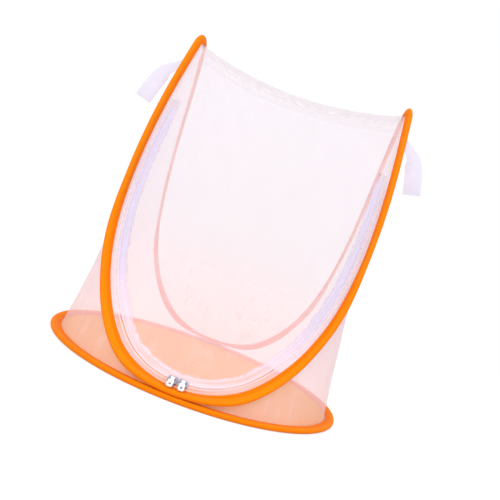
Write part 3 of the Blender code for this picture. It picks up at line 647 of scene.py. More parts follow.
def woven_material(name, colour, pitch, depth, roughness=0.6, sheen=0.0,
                   sheen_tint=(1.0, 0.6, 0.3), folded=False):
    """Plain weave: threads over and under each other, with painted shade at the binding's fold
    and a painted shadow beside its stitched hem.
    """
    shade = new_shade(name)
    across, along = shade.cloth()
    over = ((across / pitch).wave() * (along / pitch).wave()).size()
    clouds = shade.clouds(55.0)
    fine = shade.clouds(900.0, 1.0)
    tone_and_painted_shade = shade.varied(clouds, colour, 0.93, 1.05)
    if folded:
        girth = 2 * WIRE_PLACE + math.pi * EDGE_RADIUS
        from_fold = (across - girth / 2).size()
        # Painted shade: the orange darkens towards the fold, where the band turns from the light,
        # and a painted shadow darkens it beside the stitched hem, as if in the stitch groove
        pressed = 1 - from_fold.stepped(*FOLD_SHADE_SPAN)
        sewn = from_fold.stepped(*[girth / 2 - inside for inside in HEM_SHADOW_SPAN])
        tone_and_painted_shade = shade.mixed((pressed * 0.35).most(sewn * 0.6), tone_and_painted_shade,
                           (colour[0], colour[1] * 0.62, 0.0, 1.0))
    gaps = shade.mixed(over.stepped(0.0, 0.5), (0.86, 0.84, 0.84, 1.0), (1.0, 1.0, 1.0, 1.0))
    return shade.finished({
        "Base Color": shade.mixed(1.0, tone_and_painted_shade, gaps, "MULTIPLY"),
        "Roughness": clouds * 0.12 + (roughness - 0.06), "Specular IOR Level": 0.05,
        "Sheen Weight": sheen, "Sheen Roughness": 0.35, "Sheen Tint": (*sheen_tint, 1.0),
        "Normal": shade.bumped(over * 0.8 + fine * 0.35, depth)})


def tape_material(name, colour, floor_glow_tape_colour, cover, width):
    """Sheer woven tape with soft streaks, frayed thin at its free edge, and pinker near the floor
    with painted warm light from the floor cloth.
    """
    shade = new_shade(name)
    across, along = shade.cloth()
    pitch = 0.8 * MM
    over = ((across / pitch).wave() * (along / pitch).wave()).size()
    stretched = shade.add("ShaderNodeCombineXYZ", {}, {0: across * 300.0, 1: along * 16.0})
    streaks = shade.noise(stretched, 1.0, 2.0)
    # Painted warm light: near the floor the tape takes the pinker colour that stands in for light
    # from the floor cloth
    high = shade.height().stepped(*TAPE_WARM_HEIGHTS)
    upper = shade.varied(streaks, colour, 0.96, 1.05)
    floor_glow_lower = shade.varied(streaks, floor_glow_tape_colour, 0.97, 1.04)
    least, most = cover
    top = QUARTER[DOOR_TOP].seam.z
    ended = shade.height().stepped(*[top - below for below in TAPE_END_FADE])
    body = streaks.stepped(0.3, 0.7) * (most - least) + least
    reach = across + (shade.clouds(130.0) - 0.5) * TAPE_FRAY
    free = 1 - reach.stepped(*[width - inside for inside in TAPE_EDGE_FADE])
    return shade.finished({
        "Base Color": shade.mixed(high, floor_glow_lower, upper), "Roughness": 0.7,
        "Specular IOR Level": 0.1, "Sheen Weight": 0.1,
        "Alpha": shade.lit_through(body * free * (1 - ended * 0.7), 0.6),
        "Normal": shade.bumped(over, 0.08 * MM)})


def satin_material(name, colour, pitch):
    """Satin ribbon: long floats that catch the light across its width, ribbed edges."""
    shade = new_shade(name)
    across, along = shade.cloth()
    floats = (along / pitch).wave() * 0.5 + 0.5
    edge = across.size().stepped(*[RIBBON_WIDTH / 2 - inside for inside in RIBBON_EDGE])
    rib = (along / (2 * pitch)).wave() * 0.5 + 0.5
    return shade.finished({
        "Base Color": shade.varied(shade.clouds(70.0), colour, 0.94, 1.05),
        "Roughness": edge * 0.25 + 0.38, "Specular IOR Level": 0.45, "Sheen Weight": 0.15,
        "Alpha": shade.lit_through(0.85, 0.5),
        "Normal": shade.bumped(floats * (1 - edge) + rib * edge, 0.06 * MM)})


def plain_material(name, colour, roughness, metallic, grain, depth, cover=1.0):
    """Metal or plastic with fine grain, small marks and soft changes of gloss."""
    shade = new_shade(name)
    marks = shade.clouds(grain * 9, 3.0)
    return shade.finished({
        "Base Color": shade.varied(shade.clouds(grain), colour, 0.86, 1.1),
        "Metallic": metallic,
        "Alpha": shade.lit_through(cover, 0.85) if cover < 1 else 1.0,
        "Roughness": marks.stepped(0.45, 0.75) * 0.18 + roughness,
        "Normal": shade.bumped(marks, depth)})


def make_materials(sizes, colours):
    """Every material of the cage, by name."""
    pitch = sizes.weave_pitch
    low = colours.tape_floor_glow
    return {
        "net": net_material("net", colours.net, colours.net_floor_glow, sizes),
        "side_net": net_material("side_net", colours.side_net, colours.net_floor_glow, sizes),
        "binding": woven_material("binding", colours.binding, pitch, 0.08 * MM, folded=True),
        "thread": woven_material("thread", colours.binding, 0.25 * MM, 0.03 * MM,
                                 roughness=0.5, sheen=0.2),
        "floor": woven_material("floor_cloth", colours.floor, pitch, 0.08 * MM,
                                sheen=0.05, sheen_tint=(1.0, 0.7, 0.4)),
        "tape": tape_material("zip_tape", colours.tape, low, (0.6, 0.9), INNER_TAPE_WIDTH),
        "seam_tape": tape_material("zip_seam_tape", colours.seam_tape, low, (0.35, 0.65), 1.0),
        "ribbon": satin_material("ribbon", colours.ribbon, 0.5 * MM),
        "coil": plain_material("zip_coil", colours.coil, 0.6, 0.0, 300.0, 0.01 * MM, 0.85),
        "metal": plain_material("slider_metal", colours.metal, 0.42, 0.55, 400.0, 0.02 * MM),
        "tab": plain_material("pull_tab", colours.tab, 0.3, 0.0, 300.0, 0.01 * MM),
        "wire": plain_material("spring_wire", (0.35, 0.36, 0.38), 0.28, 1.0, 500.0, 0.01 * MM),
        "ferrule": plain_material("ferrule", (0.55, 0.55, 0.56), 0.3, 1.0, 500.0, 0.01 * MM),
    }


def add_piece(name, mesh_data, material, smooth_angle=50.0):
    """Write a bmesh to an object with one material."""
    mesh = bpy.data.meshes.new(name)
    mesh_data.to_mesh(mesh)
    mesh_data.free()
    mesh.shade_smooth()
    mesh.set_sharp_from_angle(angle=math.radians(smooth_angle))
    mesh.materials.append(material)
    piece = bpy.data.objects.new(name, mesh)
    bpy.context.scene.collection.objects.link(piece)
    return piece


def grid_piece(name, rows, places, material, closed_rows=False, closed_columns=False,
               capped=False):
    """A piece from rows of points, with the cloth's own place for each. None leaves a hole."""
    body = bmesh.new()
    layer = body.verts.layers.float_vector.new("cloth")
    grid = []
    for row, row_places in zip(rows, places):
        line = []
        for point, place in zip(row, row_places):
            vertex = body.verts.new(point) if point is not None else None
            if vertex is not None:
                vertex[layer] = (*place, 0.0)
            line.append(vertex)
        grid.append(line)
    pairs = list(zip(grid, grid[1:]))
    if closed_rows:
        pairs.append((grid[-1], grid[0]))
    for row, next_row in pairs:
        count = len(row)
        for side in range(count if closed_columns else count - 1):
            other = (side + 1) % count
            corners = (row[side], row[other], next_row[other], next_row[side])
            if None not in corners:
                body.faces.new(corners)
    if capped:
        body.faces.new(grid[0])
        body.faces.new(grid[-1])
    bmesh.ops.recalc_face_normals(body, faces=body.faces)
    return add_piece(name, body, material)


def track_cloth(rows, track):
    """Places on a cloth from its reach along each row, and the row's place on a track."""
    return [[(reach, length) for reach in line_reach(row)] for row, length in zip(rows, track)]


def thickened(piece, thickness):
    """Give a sheet its thickness and make it final."""
    solid = piece.modifiers.new("thickness", "SOLIDIFY")
    solid.thickness = thickness
    solid.offset = 0.0
    bpy.context.view_layer.update()
    graph = bpy.context.evaluated_depsgraph_get()
    piece.data = bpy.data.meshes.new_from_object(piece.evaluated_get(graph))
    piece.modifiers.clear()


def placed(piece, body, slot, *nodes):
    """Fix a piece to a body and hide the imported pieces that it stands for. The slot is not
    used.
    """
    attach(piece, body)
    if nodes:
        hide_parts(*nodes)
    return piece


def ruffle(point, scale, seed):
    """Smooth noise at a point, from -1 to 1. The scale is in waves per metre."""
    return noise.noise(Vector((point.x * scale, point.y * scale, point.z * scale + seed)))


def binding_section():
    """Points round the binding, across and up: a full fold at the wire and a pressed hem."""
    points = []
    hem_steps = 5
    for step in range(hem_steps):
        share = step / hem_steps
        half = HEM_HALF - HEM_PINCH * math.sin(math.pi * share)
        half += (EDGE_RADIUS - HEM_HALF) * eased(share)
        points.append((WIRE_PLACE * share, half))
    fold_steps = 12
    for step in range(fold_steps + 1):
        angle = math.pi / 2 - math.pi * step / fold_steps
        points.append((WIRE_PLACE + EDGE_RADIUS * math.cos(angle), EDGE_RADIUS * math.sin(angle)))
    for across, up in reversed(points[:hem_steps]):
        points.append((across, -up))
    points.append((-HEM_LIP, 0.0))
    return points


def hoop_sleeve_point(place, across, up):
    """A point of the hoop's binding, slightly puckered along its stitched hem."""
    point = place.bound(across, up)
    hem = 1 - eased(across / WIRE_PLACE)
    pucker = ruffle(point, 260.0, 1.0) * HEM_PUCKER * hem + ruffle(point, 60.0, 4.0) * SLEEVE_WAVE
    return point + place.outside * (pucker if up >= 0 else -pucker)


def base_sleeve_point(place, across, up):
    """A point of the base ring's binding, pressed flat underneath."""
    height = EDGE_RADIUS + up if up > 0 else EDGE_RADIUS * 0.999 * (1 + up / EDGE_RADIUS)
    if across < WIRE_PLACE:
        rise = (2 * EDGE_RADIUS - BASE_HEM_TOP) * eased(across / WIRE_PLACE)
        height = BASE_HEM_TOP + rise if up > 0 else 0.0
    point = place.bound(across, height)
    if height > EDGE_RADIUS:
        point.z += ruffle(point, 240.0, 2.0) * BASE_PUCKER
    return point


def build_sleeves(materials):
    """The orange folds round the hoop's wire and round the base ring's wire."""
    section = binding_section()
    girth = line_reach([Vector((across, up, 0.0)) for across, up in section])
    loop = whole_loop()
    base = base_places()
    hoop_track = line_reach([place.bound(WIRE_PLACE, 0.0) for place in loop])
    base_track = [number * 2 * math.pi * BASE_RADIUS / BASE_STEPS for number in range(len(base))]
    for name, node, places, track, point_of in (
            ("hoop_sleeve", "hoop_binding", loop, hoop_track, hoop_sleeve_point),
            ("base_sleeve", "base_binding", base, base_track, base_sleeve_point)):
        rows = [[point_of(place, across, up) for across, up in section] for place in places]
        cloth = [[(across, length) for across in girth] for length in track]
        piece = grid_piece(name, rows, cloth, materials["binding"], closed_rows=True,
                           closed_columns=True)
        placed(piece, "frame", "orange_binding", node)


def add_stitch(body, layer, centre, along, up, sizes):
    """One stitch: a short thread that dips into the cloth at both ends."""
    side = along.cross(up)
    half = sizes.stitch_length / 2
    rings = []
    sides = 6
    for share in (-1.0, -0.55, 0.55, 1.0):
        dip = STITCH_SWELL - STITCH_DIP * abs(share) ** 3
        radius = sizes.thread_radius * (0.45 if abs(share) == 1.0 else 1.0)
        middle = centre + along * (half * share) + up * dip
        ring = []
        for step in range(sides):
            angle = 2 * math.pi * step / sides
            vertex = body.verts.new(middle + side * (radius * math.cos(angle))
                                    + up * (radius * math.sin(angle)))
            vertex[layer] = (radius * angle, half * share, 0.0)
            ring.append(vertex)
        rings.append(ring)
    for ring, next_ring in zip(rings, rings[1:]):
        for step in range(sides):
            other = (step + 1) % sides
            body.faces.new((ring[step], ring[other], next_ring[other], next_ring[step]))
    body.faces.new(reversed(rings[0]))
    body.faces.new(rings[-1])


def build_stitches(materials, sizes):
    """Rows of stitches that hold the bindings' hems together."""
    for name, places, faces, height in (
            ("hoop_stitching", whole_loop(), (1, -1), HEM_HALF + 0.02 * MM),
            ("base_stitching", base_places(), (1,), BASE_HEM_TOP + 0.12 * MM)):
        body = bmesh.new()
        layer = body.verts.layers.float_vector.new("cloth")
        track = Track(places + places[:1], lambda place: place.bound(STITCH_LINE, 0.0))
        count = round(track.length / sizes.stitch_pitch)
        for number in range(count):
            place = track.at((number + 0.5) * track.length / count)
            for face in faces:
                add_stitch(body, layer, place.bound(STITCH_LINE, face * height), place.along,
                           place.outside * face, sizes)
        bmesh.ops.recalc_face_normals(body, faces=body.faces)
        placed(add_piece(name, body, materials["thread"]), "frame", "orange_binding")


def build_floor(materials):
    """The orange floor cloth, laid inside the base ring with soft rumples."""
    rings = 26
    sides = 144
    rows = []
    outer = BASE_SEAM_RADIUS + SEAM_ALLOWANCE
    for ring in range(rings + 1):
        radius = max(outer * (1 - ring / rings), 0.4 * MM)
        free = eased((BASE_SEAM_RADIUS - radius) / FLOOR_FREE)
        row = [around(radius, FLOOR_LEVEL, 2 * math.pi * side / sides) for side in range(sides)]
        for point in row:
            rise = sum(max(0.0, ruffle(point, scale, seed) + lift) * depth
                       for scale, seed, lift, depth in FLOOR_RUMPLES)
            point.z += rise * free
        rows.append(row)
    cloth = [[(point.x, point.y) for point in row] for row in rows]
    piece = grid_piece("floor_cloth", rows, cloth, materials["floor"], closed_columns=True)
    thickened(piece, FLOOR_THICKNESS)
    placed(piece, "frame", "floor_cloth", "floor_panel")


def side_net_rows(sign):
    """Rows of the side net, one for each place on the hoop, from hoop to base ring."""
    rows = []
    cloth = []
    depth, scale, seed = SIDE_WAVES
    flip = Matrix.Diagonal((sign, 1.0, 1.0))
    for number, place in enumerate(right_half()):
        angle = math.atan2(place.seam.x, -place.seam.y)
        turned = place.bound(-SEAM_EXIT, SIDE_TURN_OFFSET)
        base_exit = around(BASE_SEAM_RADIUS - SEAM_EXIT, SIDE_PLY_LEVEL, angle)
        span = (base_exit - turned).length
        row = [place.bound(SEAM_ALLOWANCE, PLY_OFFSET), place.bound(-SEAM_EXIT, PLY_OFFSET)]
        outward = around(1.0, 0.0, angle)
        for step in range(SIDE_STEPS + 1):
            share = step / SIDE_STEPS
            point = turned.lerp(base_exit, share)
            free = math.sin(math.pi * share)
            draw = -SIDE_DRAW * span * free * min(1.0, span / SIDE_FULL_SPAN)
            fold = ruffle(Vector((angle * SIDE_WRAP, 0.0, 0.35 * point.z)), scale, seed)
            low = eased(share) * free
            row.append(point + outward * (draw + fold * depth * low))
        row.append(around(BASE_SEAM_RADIUS + SEAM_ALLOWANCE, SIDE_PLY_LEVEL, angle))
        if number in (0, len(QUARTER) * 2 - 2):
            row = [point + Vector((GAP, 0.0, 0.0)) for point in row]
        rows.append([flip @ point for point in row])
        cloth.append([(math.atan2(point.x, -point.y) * SIDE_WRAP, point.z) for point in row])
    return rows, cloth


def build_side_nets(materials):
    """The nets that flare from the hoop to the base ring on both sides."""
    for side, sign in SIDES:
        rows, cloth = side_net_rows(sign)
        piece = grid_piece("side_net_" + side, rows, cloth, materials["side_net"])
        placed(piece, "frame", "net", "side_panel_" + side)
        declare_net([row[-1] for row in rows], rows[len(rows) // 4])


def declare_net(width_line, length_line):
    """Measure a line across a net and a line along it; the lengths are not kept."""
    line_reach(width_line)[-1]
    line_reach(length_line)[-1]


def ridge_drop(share, sag):
    """How far the net hangs down, a share of the way out from the middle."""
    return sag * (1 - share ** 2)


def even_shares(columns):
    """Even steps from the right side, 1, to the left side, -1."""
    return [1 - 2 * column / columns for column in range(columns + 1)]


def spanning_row(place, sag, shares=even_shares(NET_COLUMNS)):
    """A row of net from inside one binding across to inside the other one."""
    end = place.bound(-SEAM_EXIT, -PLY_OFFSET)
    hidden = place.bound(SEAM_ALLOWANCE, -PLY_OFFSET)
    return ([hidden] + [Vector((end.x * share, end.y, end.z - ridge_drop(share, sag)))
                        for share in shares] + [Vector((-hidden.x, hidden.y, hidden.z))])


def net_cloth(rows):
    """The place on a net that spans from side to side: across, and along its middle line."""
    middle = line_reach([row[len(row) // 2] for row in rows])
    return [[(point.x, length) for point in row] for row, length in zip(rows, middle)]


def inset(row, column):
    """How far in a column is from the nearer end of its row, from 0 to about 1."""
    return min(column, len(row) - 1 - column) / (len(row) / 2)


def rippled(rows, depth, scale, seed):
    """Small waves in a net, none at its edges."""
    result = [rows[0]]
    for row in rows[1:-1]:
        moved = []
        for column, point in enumerate(row):
            wave = ruffle(Vector((point.x, 0.0, point.z * 0.3)), scale, seed) * depth
            moved.append(point + Vector((0.0, wave * eased(inset(row, column) * 3), 0.0)))
        result.append(moved)
    return result + [rows[-1]]


def build_back_net(materials):
    """The back net, from the back foot up to the rear ridge."""
    places = [place.mirrored(1, -1) for place in QUARTER[2:RIDGE + 1]]
    base = QUARTER[0].mirrored(1, -1).bound(SEAM_ALLOWANCE, -PLY_OFFSET)
    rows = [spanning_row(place, RIDGE_SAG * eased(number / (len(places) - 1)) ** 3)
            for number, place in enumerate(places)]
    low = [Vector((point.x * 0.5, base.y, base.z)) for point in rows[0]]
    rows = rippled([low] + rows, *BACK_WAVES)
    # Turned, so that its rows of holes make no pattern with the front net's
    turned = [[(length, across) for across, length in line] for line in net_cloth(rows)]
    piece = grid_piece("back_net", rows, turned, materials["net"])
    placed(piece, "frame", "net", "back_panel")
    declare_net(rows[-1], [row[len(row) // 2] for row in rows])


def front_rows():
    """Rows of the front net from the foot to the ridge. Rows of the door stop at its tapes."""
    lap = INNER_TAPE_WIDTH - DOOR_LAP
    first_half = 0.4
    shares = even_shares(DOOR_COLUMNS)
    beside = [None] * 3
    rows = []
    for number, place in enumerate(QUARTER[:DOOR_TOP + 1]):
        end = place.panelled(lap, -DOOR_NET_LEVEL)
        half = end.x if number else QUARTER[1].panelled(lap, -DOOR_NET_LEVEL).x * first_half
        rows.append(beside + [Vector((half * share, end.y, end.z)) for share in shares] + beside)
    door_share = rows[-1][3].x / QUARTER[DOOR_TOP].bound(-SEAM_EXIT, -PLY_OFFSET).x
    between = (1 + door_share) / 2
    across = [1.0, between] + [door_share * share for share in shares] + [-between, -1.0]
    top = QUARTER[DOOR_TOP:RIDGE + 1]
    for number, place in enumerate(top):
        row = spanning_row(place, RIDGE_SAG * eased(number / (len(top) - 1)), across)
        if number == 0:
            row = [point + Vector((0.0, 0.0, TOP_NET_GAP)) for point in row]
            row[3:-3] = rows.pop()[3:-3]
        rows.append(row)
    return rows


def build_front_net(materials):
    """The net above the door and the door's net, as one cloth."""
    rows = front_rows()
    centre = len(rows[0]) // 2
    middle = [row[centre] for row in rows]
    reached = line_reach(middle)
    depth, scale, seed = FRONT_WAVES
    waved = []
    cloth = []
    for row, length in zip(rows, reached):
        ends = min(length, reached[-1] - length) / (40 * MM)
        line = []
        for column, point in enumerate(row):
            if point is not None:
                wave = ruffle(Vector((point.x, 0.0, point.z * 0.35)), scale, seed) * depth
                wave *= eased(inset(row, column) * 4 - 0.6) * eased(ends)
                point = point + Vector((0.0, wave, 0.0))
            line.append(point)
        waved.append(line)
        cloth.append([(point.x if point is not None else 0.0, length) for point in row])
    piece = grid_piece("front_net", waved, cloth, materials["net"])
    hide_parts("front_top_panel", "door_panel")
    declare_net(rows[DOOR_TOP], middle)
    fold = middle[DOOR_TOP]
    below = fold - FOLD_LENGTH * (fold - middle[DOOR_TOP - 3]).normalized()
    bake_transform(piece)


def build_roof_net(materials):
    """The roof net between the two ridges, with a doubled hem along each ridge."""
    for name, place, sign in (("ridge_seam_front", QUARTER[RIDGE], -1),
                              ("ridge_seam_back", QUARTER[RIDGE].mirrored(1, -1), 1)):
        strip = []
        for down, inside in RIDGE_HEM:
            shift = Vector((0.0, -sign * (inside - RIDGE_HEM_LEAN * down), -down))
            strip.append([point + shift for point in spanning_row(place, RIDGE_SAG)[1:-1]])
        piece = grid_piece(name, strip, net_cloth(strip), materials["seam_tape"])
        placed(piece, "frame", "net")

    tip = QUARTER[RIDGE:] + [place.mirrored(1, -1) for place in QUARTER[-2:RIDGE - 1:-1]]
    rows = []
    for number, place in enumerate(tip):
        crown = math.sin(math.pi * number / (len(tip) - 1))
        rows.append(spanning_row(place, RIDGE_SAG + (ROOF_SAG - RIDGE_SAG) * crown))
    piece = grid_piece("roof_net", rows, net_cloth(rows), materials["net"])
    placed(piece, "frame", "net", "roof_panel")
    declare_net(rows[len(rows) // 2], [row[0] for row in rows])


def inner_tape_row(place):
    """A row across the inner tape, which waves and lifts at its free edge, most near the foot."""
    columns = 8
    low = 1 - eased(place.seam.z / TAPE_WAVING_BELOW)
    wave = (ruffle(place.seam, 30.0, 21.0) * (1.0 + 1.2 * low)
            + ruffle(place.seam, 85.0, 23.0) * (0.5 + 0.7 * low)) * MM
    lift = (ruffle(place.seam, 60.0, 25.0) + 0.2) * TAPE_LIFT
    row = []
    for column in range(columns + 1):
        share = column / columns
        reach = COIL_TOUCH + (INNER_TAPE_WIDTH - COIL_TOUCH + wave) * share
        row.append(place.panelled(reach, max(0.0, lift * eased(share))))
    return row


def build_zip_tapes(materials):
    """The two woven tapes that carry the coils."""
    places = front_arc(DOOR_TOP)
    track = line_reach([place.panelled(0.0, 0.0) for place in places])
    outer = [[place.bound(SEAM_ALLOWANCE, -PLY_OFFSET), place.bound(-SEAM_EXIT, -PLY_OFFSET),
              place.panelled(-TAPE_FLAT, 0.0), place.panelled(-TAPE_FLAT / 2, 0.0),
              place.panelled(-COIL_TOUCH, 0.0)] for place in places]
    inner = [inner_tape_row(place) for place in places]
    for name, rows, material, body_name, rests_on in (
            ("outer", outer, "seam_tape", "frame", "hoop_sleeve"),
            ("inner", inner, "tape", "door", "front_net")):
        piece = grid_piece("tape_" + name, rows, track_cloth(rows, track), materials[material])
        placed(piece, body_name, "zip_tape", "zip_tape_" + name)
        widest = max(rows, key=lambda row: line_reach(row)[-1])
        declare_net(widest, [row[0] for row in rows])


def build_zip_coils(materials):
    """The two nylon coils, wound turn by turn along the tapes."""
    places = front_arc(DOOR_TOP)
    short = STOP_LENGTH + 2 * GAP
    samples = 8
    sides = 4
    reach = (COIL_TOUCH + COIL_GAP / 2 + COIL_WIDTH) / 2
    half_width = COIL_GAP / 2 + COIL_WIDTH - reach
    for name, sign, body_name in (("outer", -1, "frame"), ("inner", 1, "door")):
        track = Track(places, lambda place: place.panelled(sign * reach, COIL_LEVEL))
        length = track.length - 2 * short
        turns = round(length / COIL_PITCH)
        rows = []
        cloth = []
        for sample in range(turns * samples + 1):
            share = sample / (turns * samples)
            place = track.at(short + length * share)
            turn = 2 * math.pi * sample / samples + (math.pi if sign > 0 else 0.0)
            wide = (half_width - COIL_THREAD / 2) * math.cos(turn)
            tall = (COIL_HEIGHT / 2 - COIL_THREAD / 2) * math.sin(turn)
            centre = place.panelled(sign * reach + wide, COIL_LEVEL + tall)
            out = place.inward * math.cos(turn) + place.face * math.sin(turn)
            row = []
            for side in range(sides):
                angle = 2 * math.pi * (side + 0.5) / sides
                row.append(centre + out * (COIL_THREAD * 0.7 * math.cos(angle))
                           + place.along * (COIL_THREAD * 1.25 * math.sin(angle)))
            rows.append(row)
            cloth.append([(0.0, length * share)] * sides)
        piece = grid_piece("coil_" + name, rows, cloth, materials["coil"], closed_columns=True,
                           capped=True)
        placed(piece, body_name, "zip_coil", "zip_coil_" + name)


def ribbon_rows():
    """Rows across the right ribbon, from its sewn end to its cut end."""
    place = QUARTER[RIBBON_PLACE]
    root = place.bound(WIRE_PLACE, RIBBON_LEVEL) + place.along * RIBBON_RISE
    end = root + Vector((RIBBON_REACH, -RIBBON_FORWARD, -RIBBON_DROP))
    leave = (place.outside * math.cos(RIBBON_LEAVE_SLOPE)
             - place.along * math.sin(RIBBON_LEAVE_SLOPE))
    arrive = Vector((math.cos(RIBBON_END_SLOPE), 0.0, -math.sin(RIBBON_END_SLOPE)))
    root_across = -place.along
    end_across = Vector((-math.sin(RIBBON_END_SLOPE), 0.0, -math.cos(RIBBON_END_SLOPE)))
    steps = 36
    columns = 8
    rows = []
    for step in range(steps + 1):
        share = step / steps
        middle = curve_point(root, root + leave * RIBBON_PULL, end - arrive * RIBBON_PULL, end,
                             share)
        turn = eased(min(share / RIBBON_TURN_SHARE, 1.0))
        across = root_across.lerp(end_across, turn).normalized() * (RIBBON_WIDTH / 2)
        row = []
        for column in range(columns + 1):
            side = 2 * column / columns - 1
            cup = RIBBON_CUP * (1 - side * side) * math.sin(math.pi * share)
            row.append(middle + across * side + Vector((0.0, -cup, 0.0)))
        rows.append(row)
    return rows


def build_ribbons(materials):
    """A satin ribbon on each side, sewn by one end to the binding, that droops outwards."""
    base_rows = ribbon_rows()
    length = line_reach([row[len(row) // 2] for row in base_rows])
    count = len(base_rows[0]) - 1
    across = [(place / count - 0.5) * RIBBON_WIDTH for place in range(count + 1)]
    cloth = [[(place, reach) for place in across] for reach in length]
    for side, sign in SIDES:
        flip = Matrix.Diagonal((sign, 1.0, 1.0))
        rows = [[flip @ point for point in row] for row in base_rows]
        piece = grid_piece("satin_ribbon_" + side, rows, cloth, materials["ribbon"])
        placed(piece, "ribbon_" + side, "ribbon_cloth", "ribbon_" + side)


def dress_small_pieces(materials):
    """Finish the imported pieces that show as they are: sliders, tabs, stops, wires, sleeves."""
    for node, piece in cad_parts.items():
        for start, material, width in SMALL_PIECES:
            if not node.startswith(start):
                continue
            chosen = "ferrule" if node.endswith("ferrule") else material
            piece.data.materials.clear()
            piece.data.materials.append(materials[chosen])
            if width:
                bevel = piece.modifiers.new("soft_edges", "BEVEL")
                bevel.width = width
                bevel.segments = 2
                bevel.limit_method = "ANGLE"
                bevel.angle_limit = math.radians(35.0)


def stage_material():
    """White floor that keeps the object's shadow."""
    shade = new_shade("stage_floor")
    glow = shade.ray("Is Camera Ray") * STAGE_GLOW
    diffuse = shade.add("ShaderNodeBsdfDiffuse", {}, {"Color": (0.6, 0.6, 0.6, 1.0)})
    lit = shade.add("ShaderNodeEmission", {}, {"Color": (1.0, 1.0, 1.0, 1.0), "Strength": glow})
    both = shade.add("ShaderNodeAddShader", {}, {0: diffuse, 1: lit})
    shade.node("ShaderNodeOutputMaterial", {}, {"Surface": both})
    return shade.owner


def build_world():
    """Plain soft light from all round, over a white background."""
    world = bpy.data.worlds.new("studio")
    bpy.context.scene.world = world
    shade = Shade(world)
    seen = shade.ray("Is Camera Ray").most(shade.ray("Is Glossy Ray"))
    soft, white = (shade.add("ShaderNodeBackground", {}, {"Color": colour, "Strength": strength})
                   for colour, strength in (((0.97, 0.98, 1.0, 1.0), 0.95),
                                            ((1.0, 1.0, 1.0, 1.0), 1.0)))
    mix = shade.add("ShaderNodeMixShader", {}, {0: seen, 1: soft, 2: white})
    shade.node("ShaderNodeOutputWorld", {}, {"Surface": mix})


def add_lamp(name, place, size, power):
    """A square soft lamp that looks at the cage's middle."""
    data = bpy.data.lights.new(name, "AREA")
    data.shape = "SQUARE"
    data.size = size
    data.energy = power
    lamp = bpy.data.objects.new(name, data)
    lamp.location = place
    middle = Vector((0.0, 0.0, 0.5 * TOTAL_HEIGHT))
    lamp.rotation_euler = (middle - place).to_track_quat("-Z", "Y").to_euler()
    bpy.context.scene.collection.objects.link(lamp)


def build_camera():
    """A camera at the photograph's place, rolled as the photograph is."""
    back = (CAMERA_PLACE - CAMERA_TARGET).normalized()
    level = (-back).cross(Vector((0.0, 0.0, 1.0))).normalized()
    up = back.cross(level)
    right = level * math.cos(CAMERA_ROLL) + up * math.sin(CAMERA_ROLL)
    data = bpy.data.cameras.new("camera")
    data.sensor_width = CAMERA_SENSOR
    data.lens = FOCAL_PIXELS / PHOTO_PIXELS * CAMERA_SENSOR
    data.clip_start = 0.01
    camera = bpy.data.objects.new("camera", data)
    turn = Matrix((right, back.cross(right), back)).transposed()
    camera.matrix_world = Matrix.Translation(CAMERA_PLACE) @ turn.to_4x4()
    bpy.context.scene.collection.objects.link(camera)
    bpy.context.scene.camera = camera


def build_ground():
    """The stage's floor, a little under the cage."""
    body = bmesh.new()
    body.faces.new([body.verts.new((x * STAGE_HALF, y * STAGE_HALF, STAGE_LEVEL))
                    for x, y in ((-1, -1), (1, -1), (1, 1), (-1, 1))])
    add_piece("stage_floor", body, stage_material())


MATERIALS = {}


class CAGE_OT_bindings(bpy.types.Operator):
    """Build the orange bindings and their stitches"""

    bl_idname = "cage.bindings"
    bl_label = "Bindings"

    def execute(self, context):
        build_sleeves(MATERIALS)
        build_stitches(MATERIALS, context.scene.cage_sizes)
        return {"FINISHED"}


class CAGE_OT_floor(bpy.types.Operator):
    """Build the floor cloth"""

    bl_idname = "cage.floor"
    bl_label = "Floor cloth"

    def execute(self, context):
        build_floor(MATERIALS)
        return {"FINISHED"}


class CAGE_OT_nets(bpy.types.Operator):
    """Build the side, back, top, roof and door nets"""

    bl_idname = "cage.nets"
    bl_label = "Nets"

    def execute(self, context):
        build_side_nets(MATERIALS)
        build_back_net(MATERIALS)
        build_front_net(MATERIALS)
        build_roof_net(MATERIALS)
        return {"FINISHED"}


class CAGE_OT_zip(bpy.types.Operator):
    """Build the zip's tapes and coils"""

    bl_idname = "cage.zip"
    bl_label = "Zip"

    def execute(self, context):
        build_zip_tapes(MATERIALS)
        build_zip_coils(MATERIALS)
        return {"FINISHED"}


class CAGE_OT_ribbons(bpy.types.Operator):
    """Build the two ribbons"""

    bl_idname = "cage.ribbons"
    bl_label = "Ribbons"

    def execute(self, context):
        build_ribbons(MATERIALS)
        return {"FINISHED"}


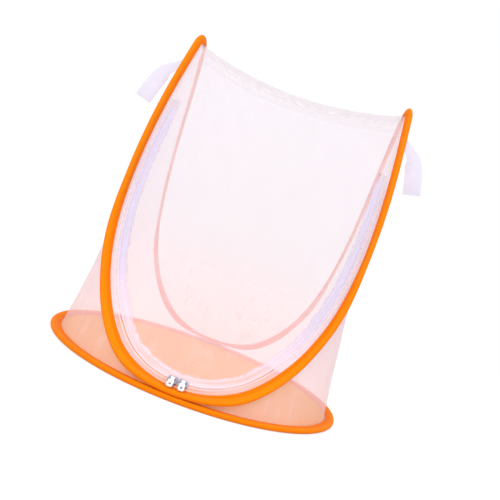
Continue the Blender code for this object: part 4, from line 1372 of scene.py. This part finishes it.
class CAGE_OT_small_pieces(bpy.types.Operator):
    """Finish the sliders, tabs, stops and wires"""

    bl_idname = "cage.small_pieces"
    bl_label = "Sliders and wires"

    def execute(self, context):
        dress_small_pieces(MATERIALS)
        return {"FINISHED"}


class CAGE_OT_stage(bpy.types.Operator):
    """Build the floor, the lamps, the world and the camera"""

    bl_idname = "cage.stage"
    bl_label = "Stage"

    def execute(self, context):
        build_ground()
        build_world()
        for name, (place, size, power) in LAMPS.items():
            add_lamp(name, place, size, power)
        build_camera()
        context.scene.view_settings.view_transform = "Standard"
        return {"FINISHED"}


class CAGE_PT_panel(bpy.types.Panel):
    """Panel that lists the cage's steps"""

    bl_idname = "CAGE_PT_panel"
    bl_label = "Insect cage"
    bl_space_type = "VIEW_3D"
    bl_region_type = "UI"
    bl_category = "Cage"

    def draw(self, context):
        for group in (context.scene.cage_sizes, context.scene.cage_colours):
            for name in group.__annotations__:
                self.layout.prop(group, name)
        for operator in OPERATORS:
            self.layout.operator(operator.bl_idname)


OPERATORS = (CAGE_OT_bindings, CAGE_OT_floor, CAGE_OT_nets, CAGE_OT_zip, CAGE_OT_ribbons,
             CAGE_OT_small_pieces, CAGE_OT_stage)
CLASSES = (CageSizes, CageColours) + OPERATORS + (CAGE_PT_panel,)


def register():
    for kind in CLASSES:
        bpy.utils.register_class(kind)
    bpy.types.Scene.cage_sizes = bpy.props.PointerProperty(type=CageSizes)
    bpy.types.Scene.cage_colours = bpy.props.PointerProperty(type=CageColours)


def unregister():
    del bpy.types.Scene.cage_sizes
    del bpy.types.Scene.cage_colours
    for kind in reversed(CLASSES):
        bpy.utils.unregister_class(kind)


def main():
    """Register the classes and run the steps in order."""
    register()
    scene = bpy.context.scene
    MATERIALS.update(make_materials(scene.cage_sizes, scene.cage_colours))
    bpy.ops.cage.bindings()
    bpy.ops.cage.floor()
    bpy.ops.cage.nets()
    bpy.ops.cage.zip()
    bpy.ops.cage.ribbons()
    bpy.ops.cage.small_pieces()
    bpy.ops.cage.stage()


if __name__ == "__main__":
    main()
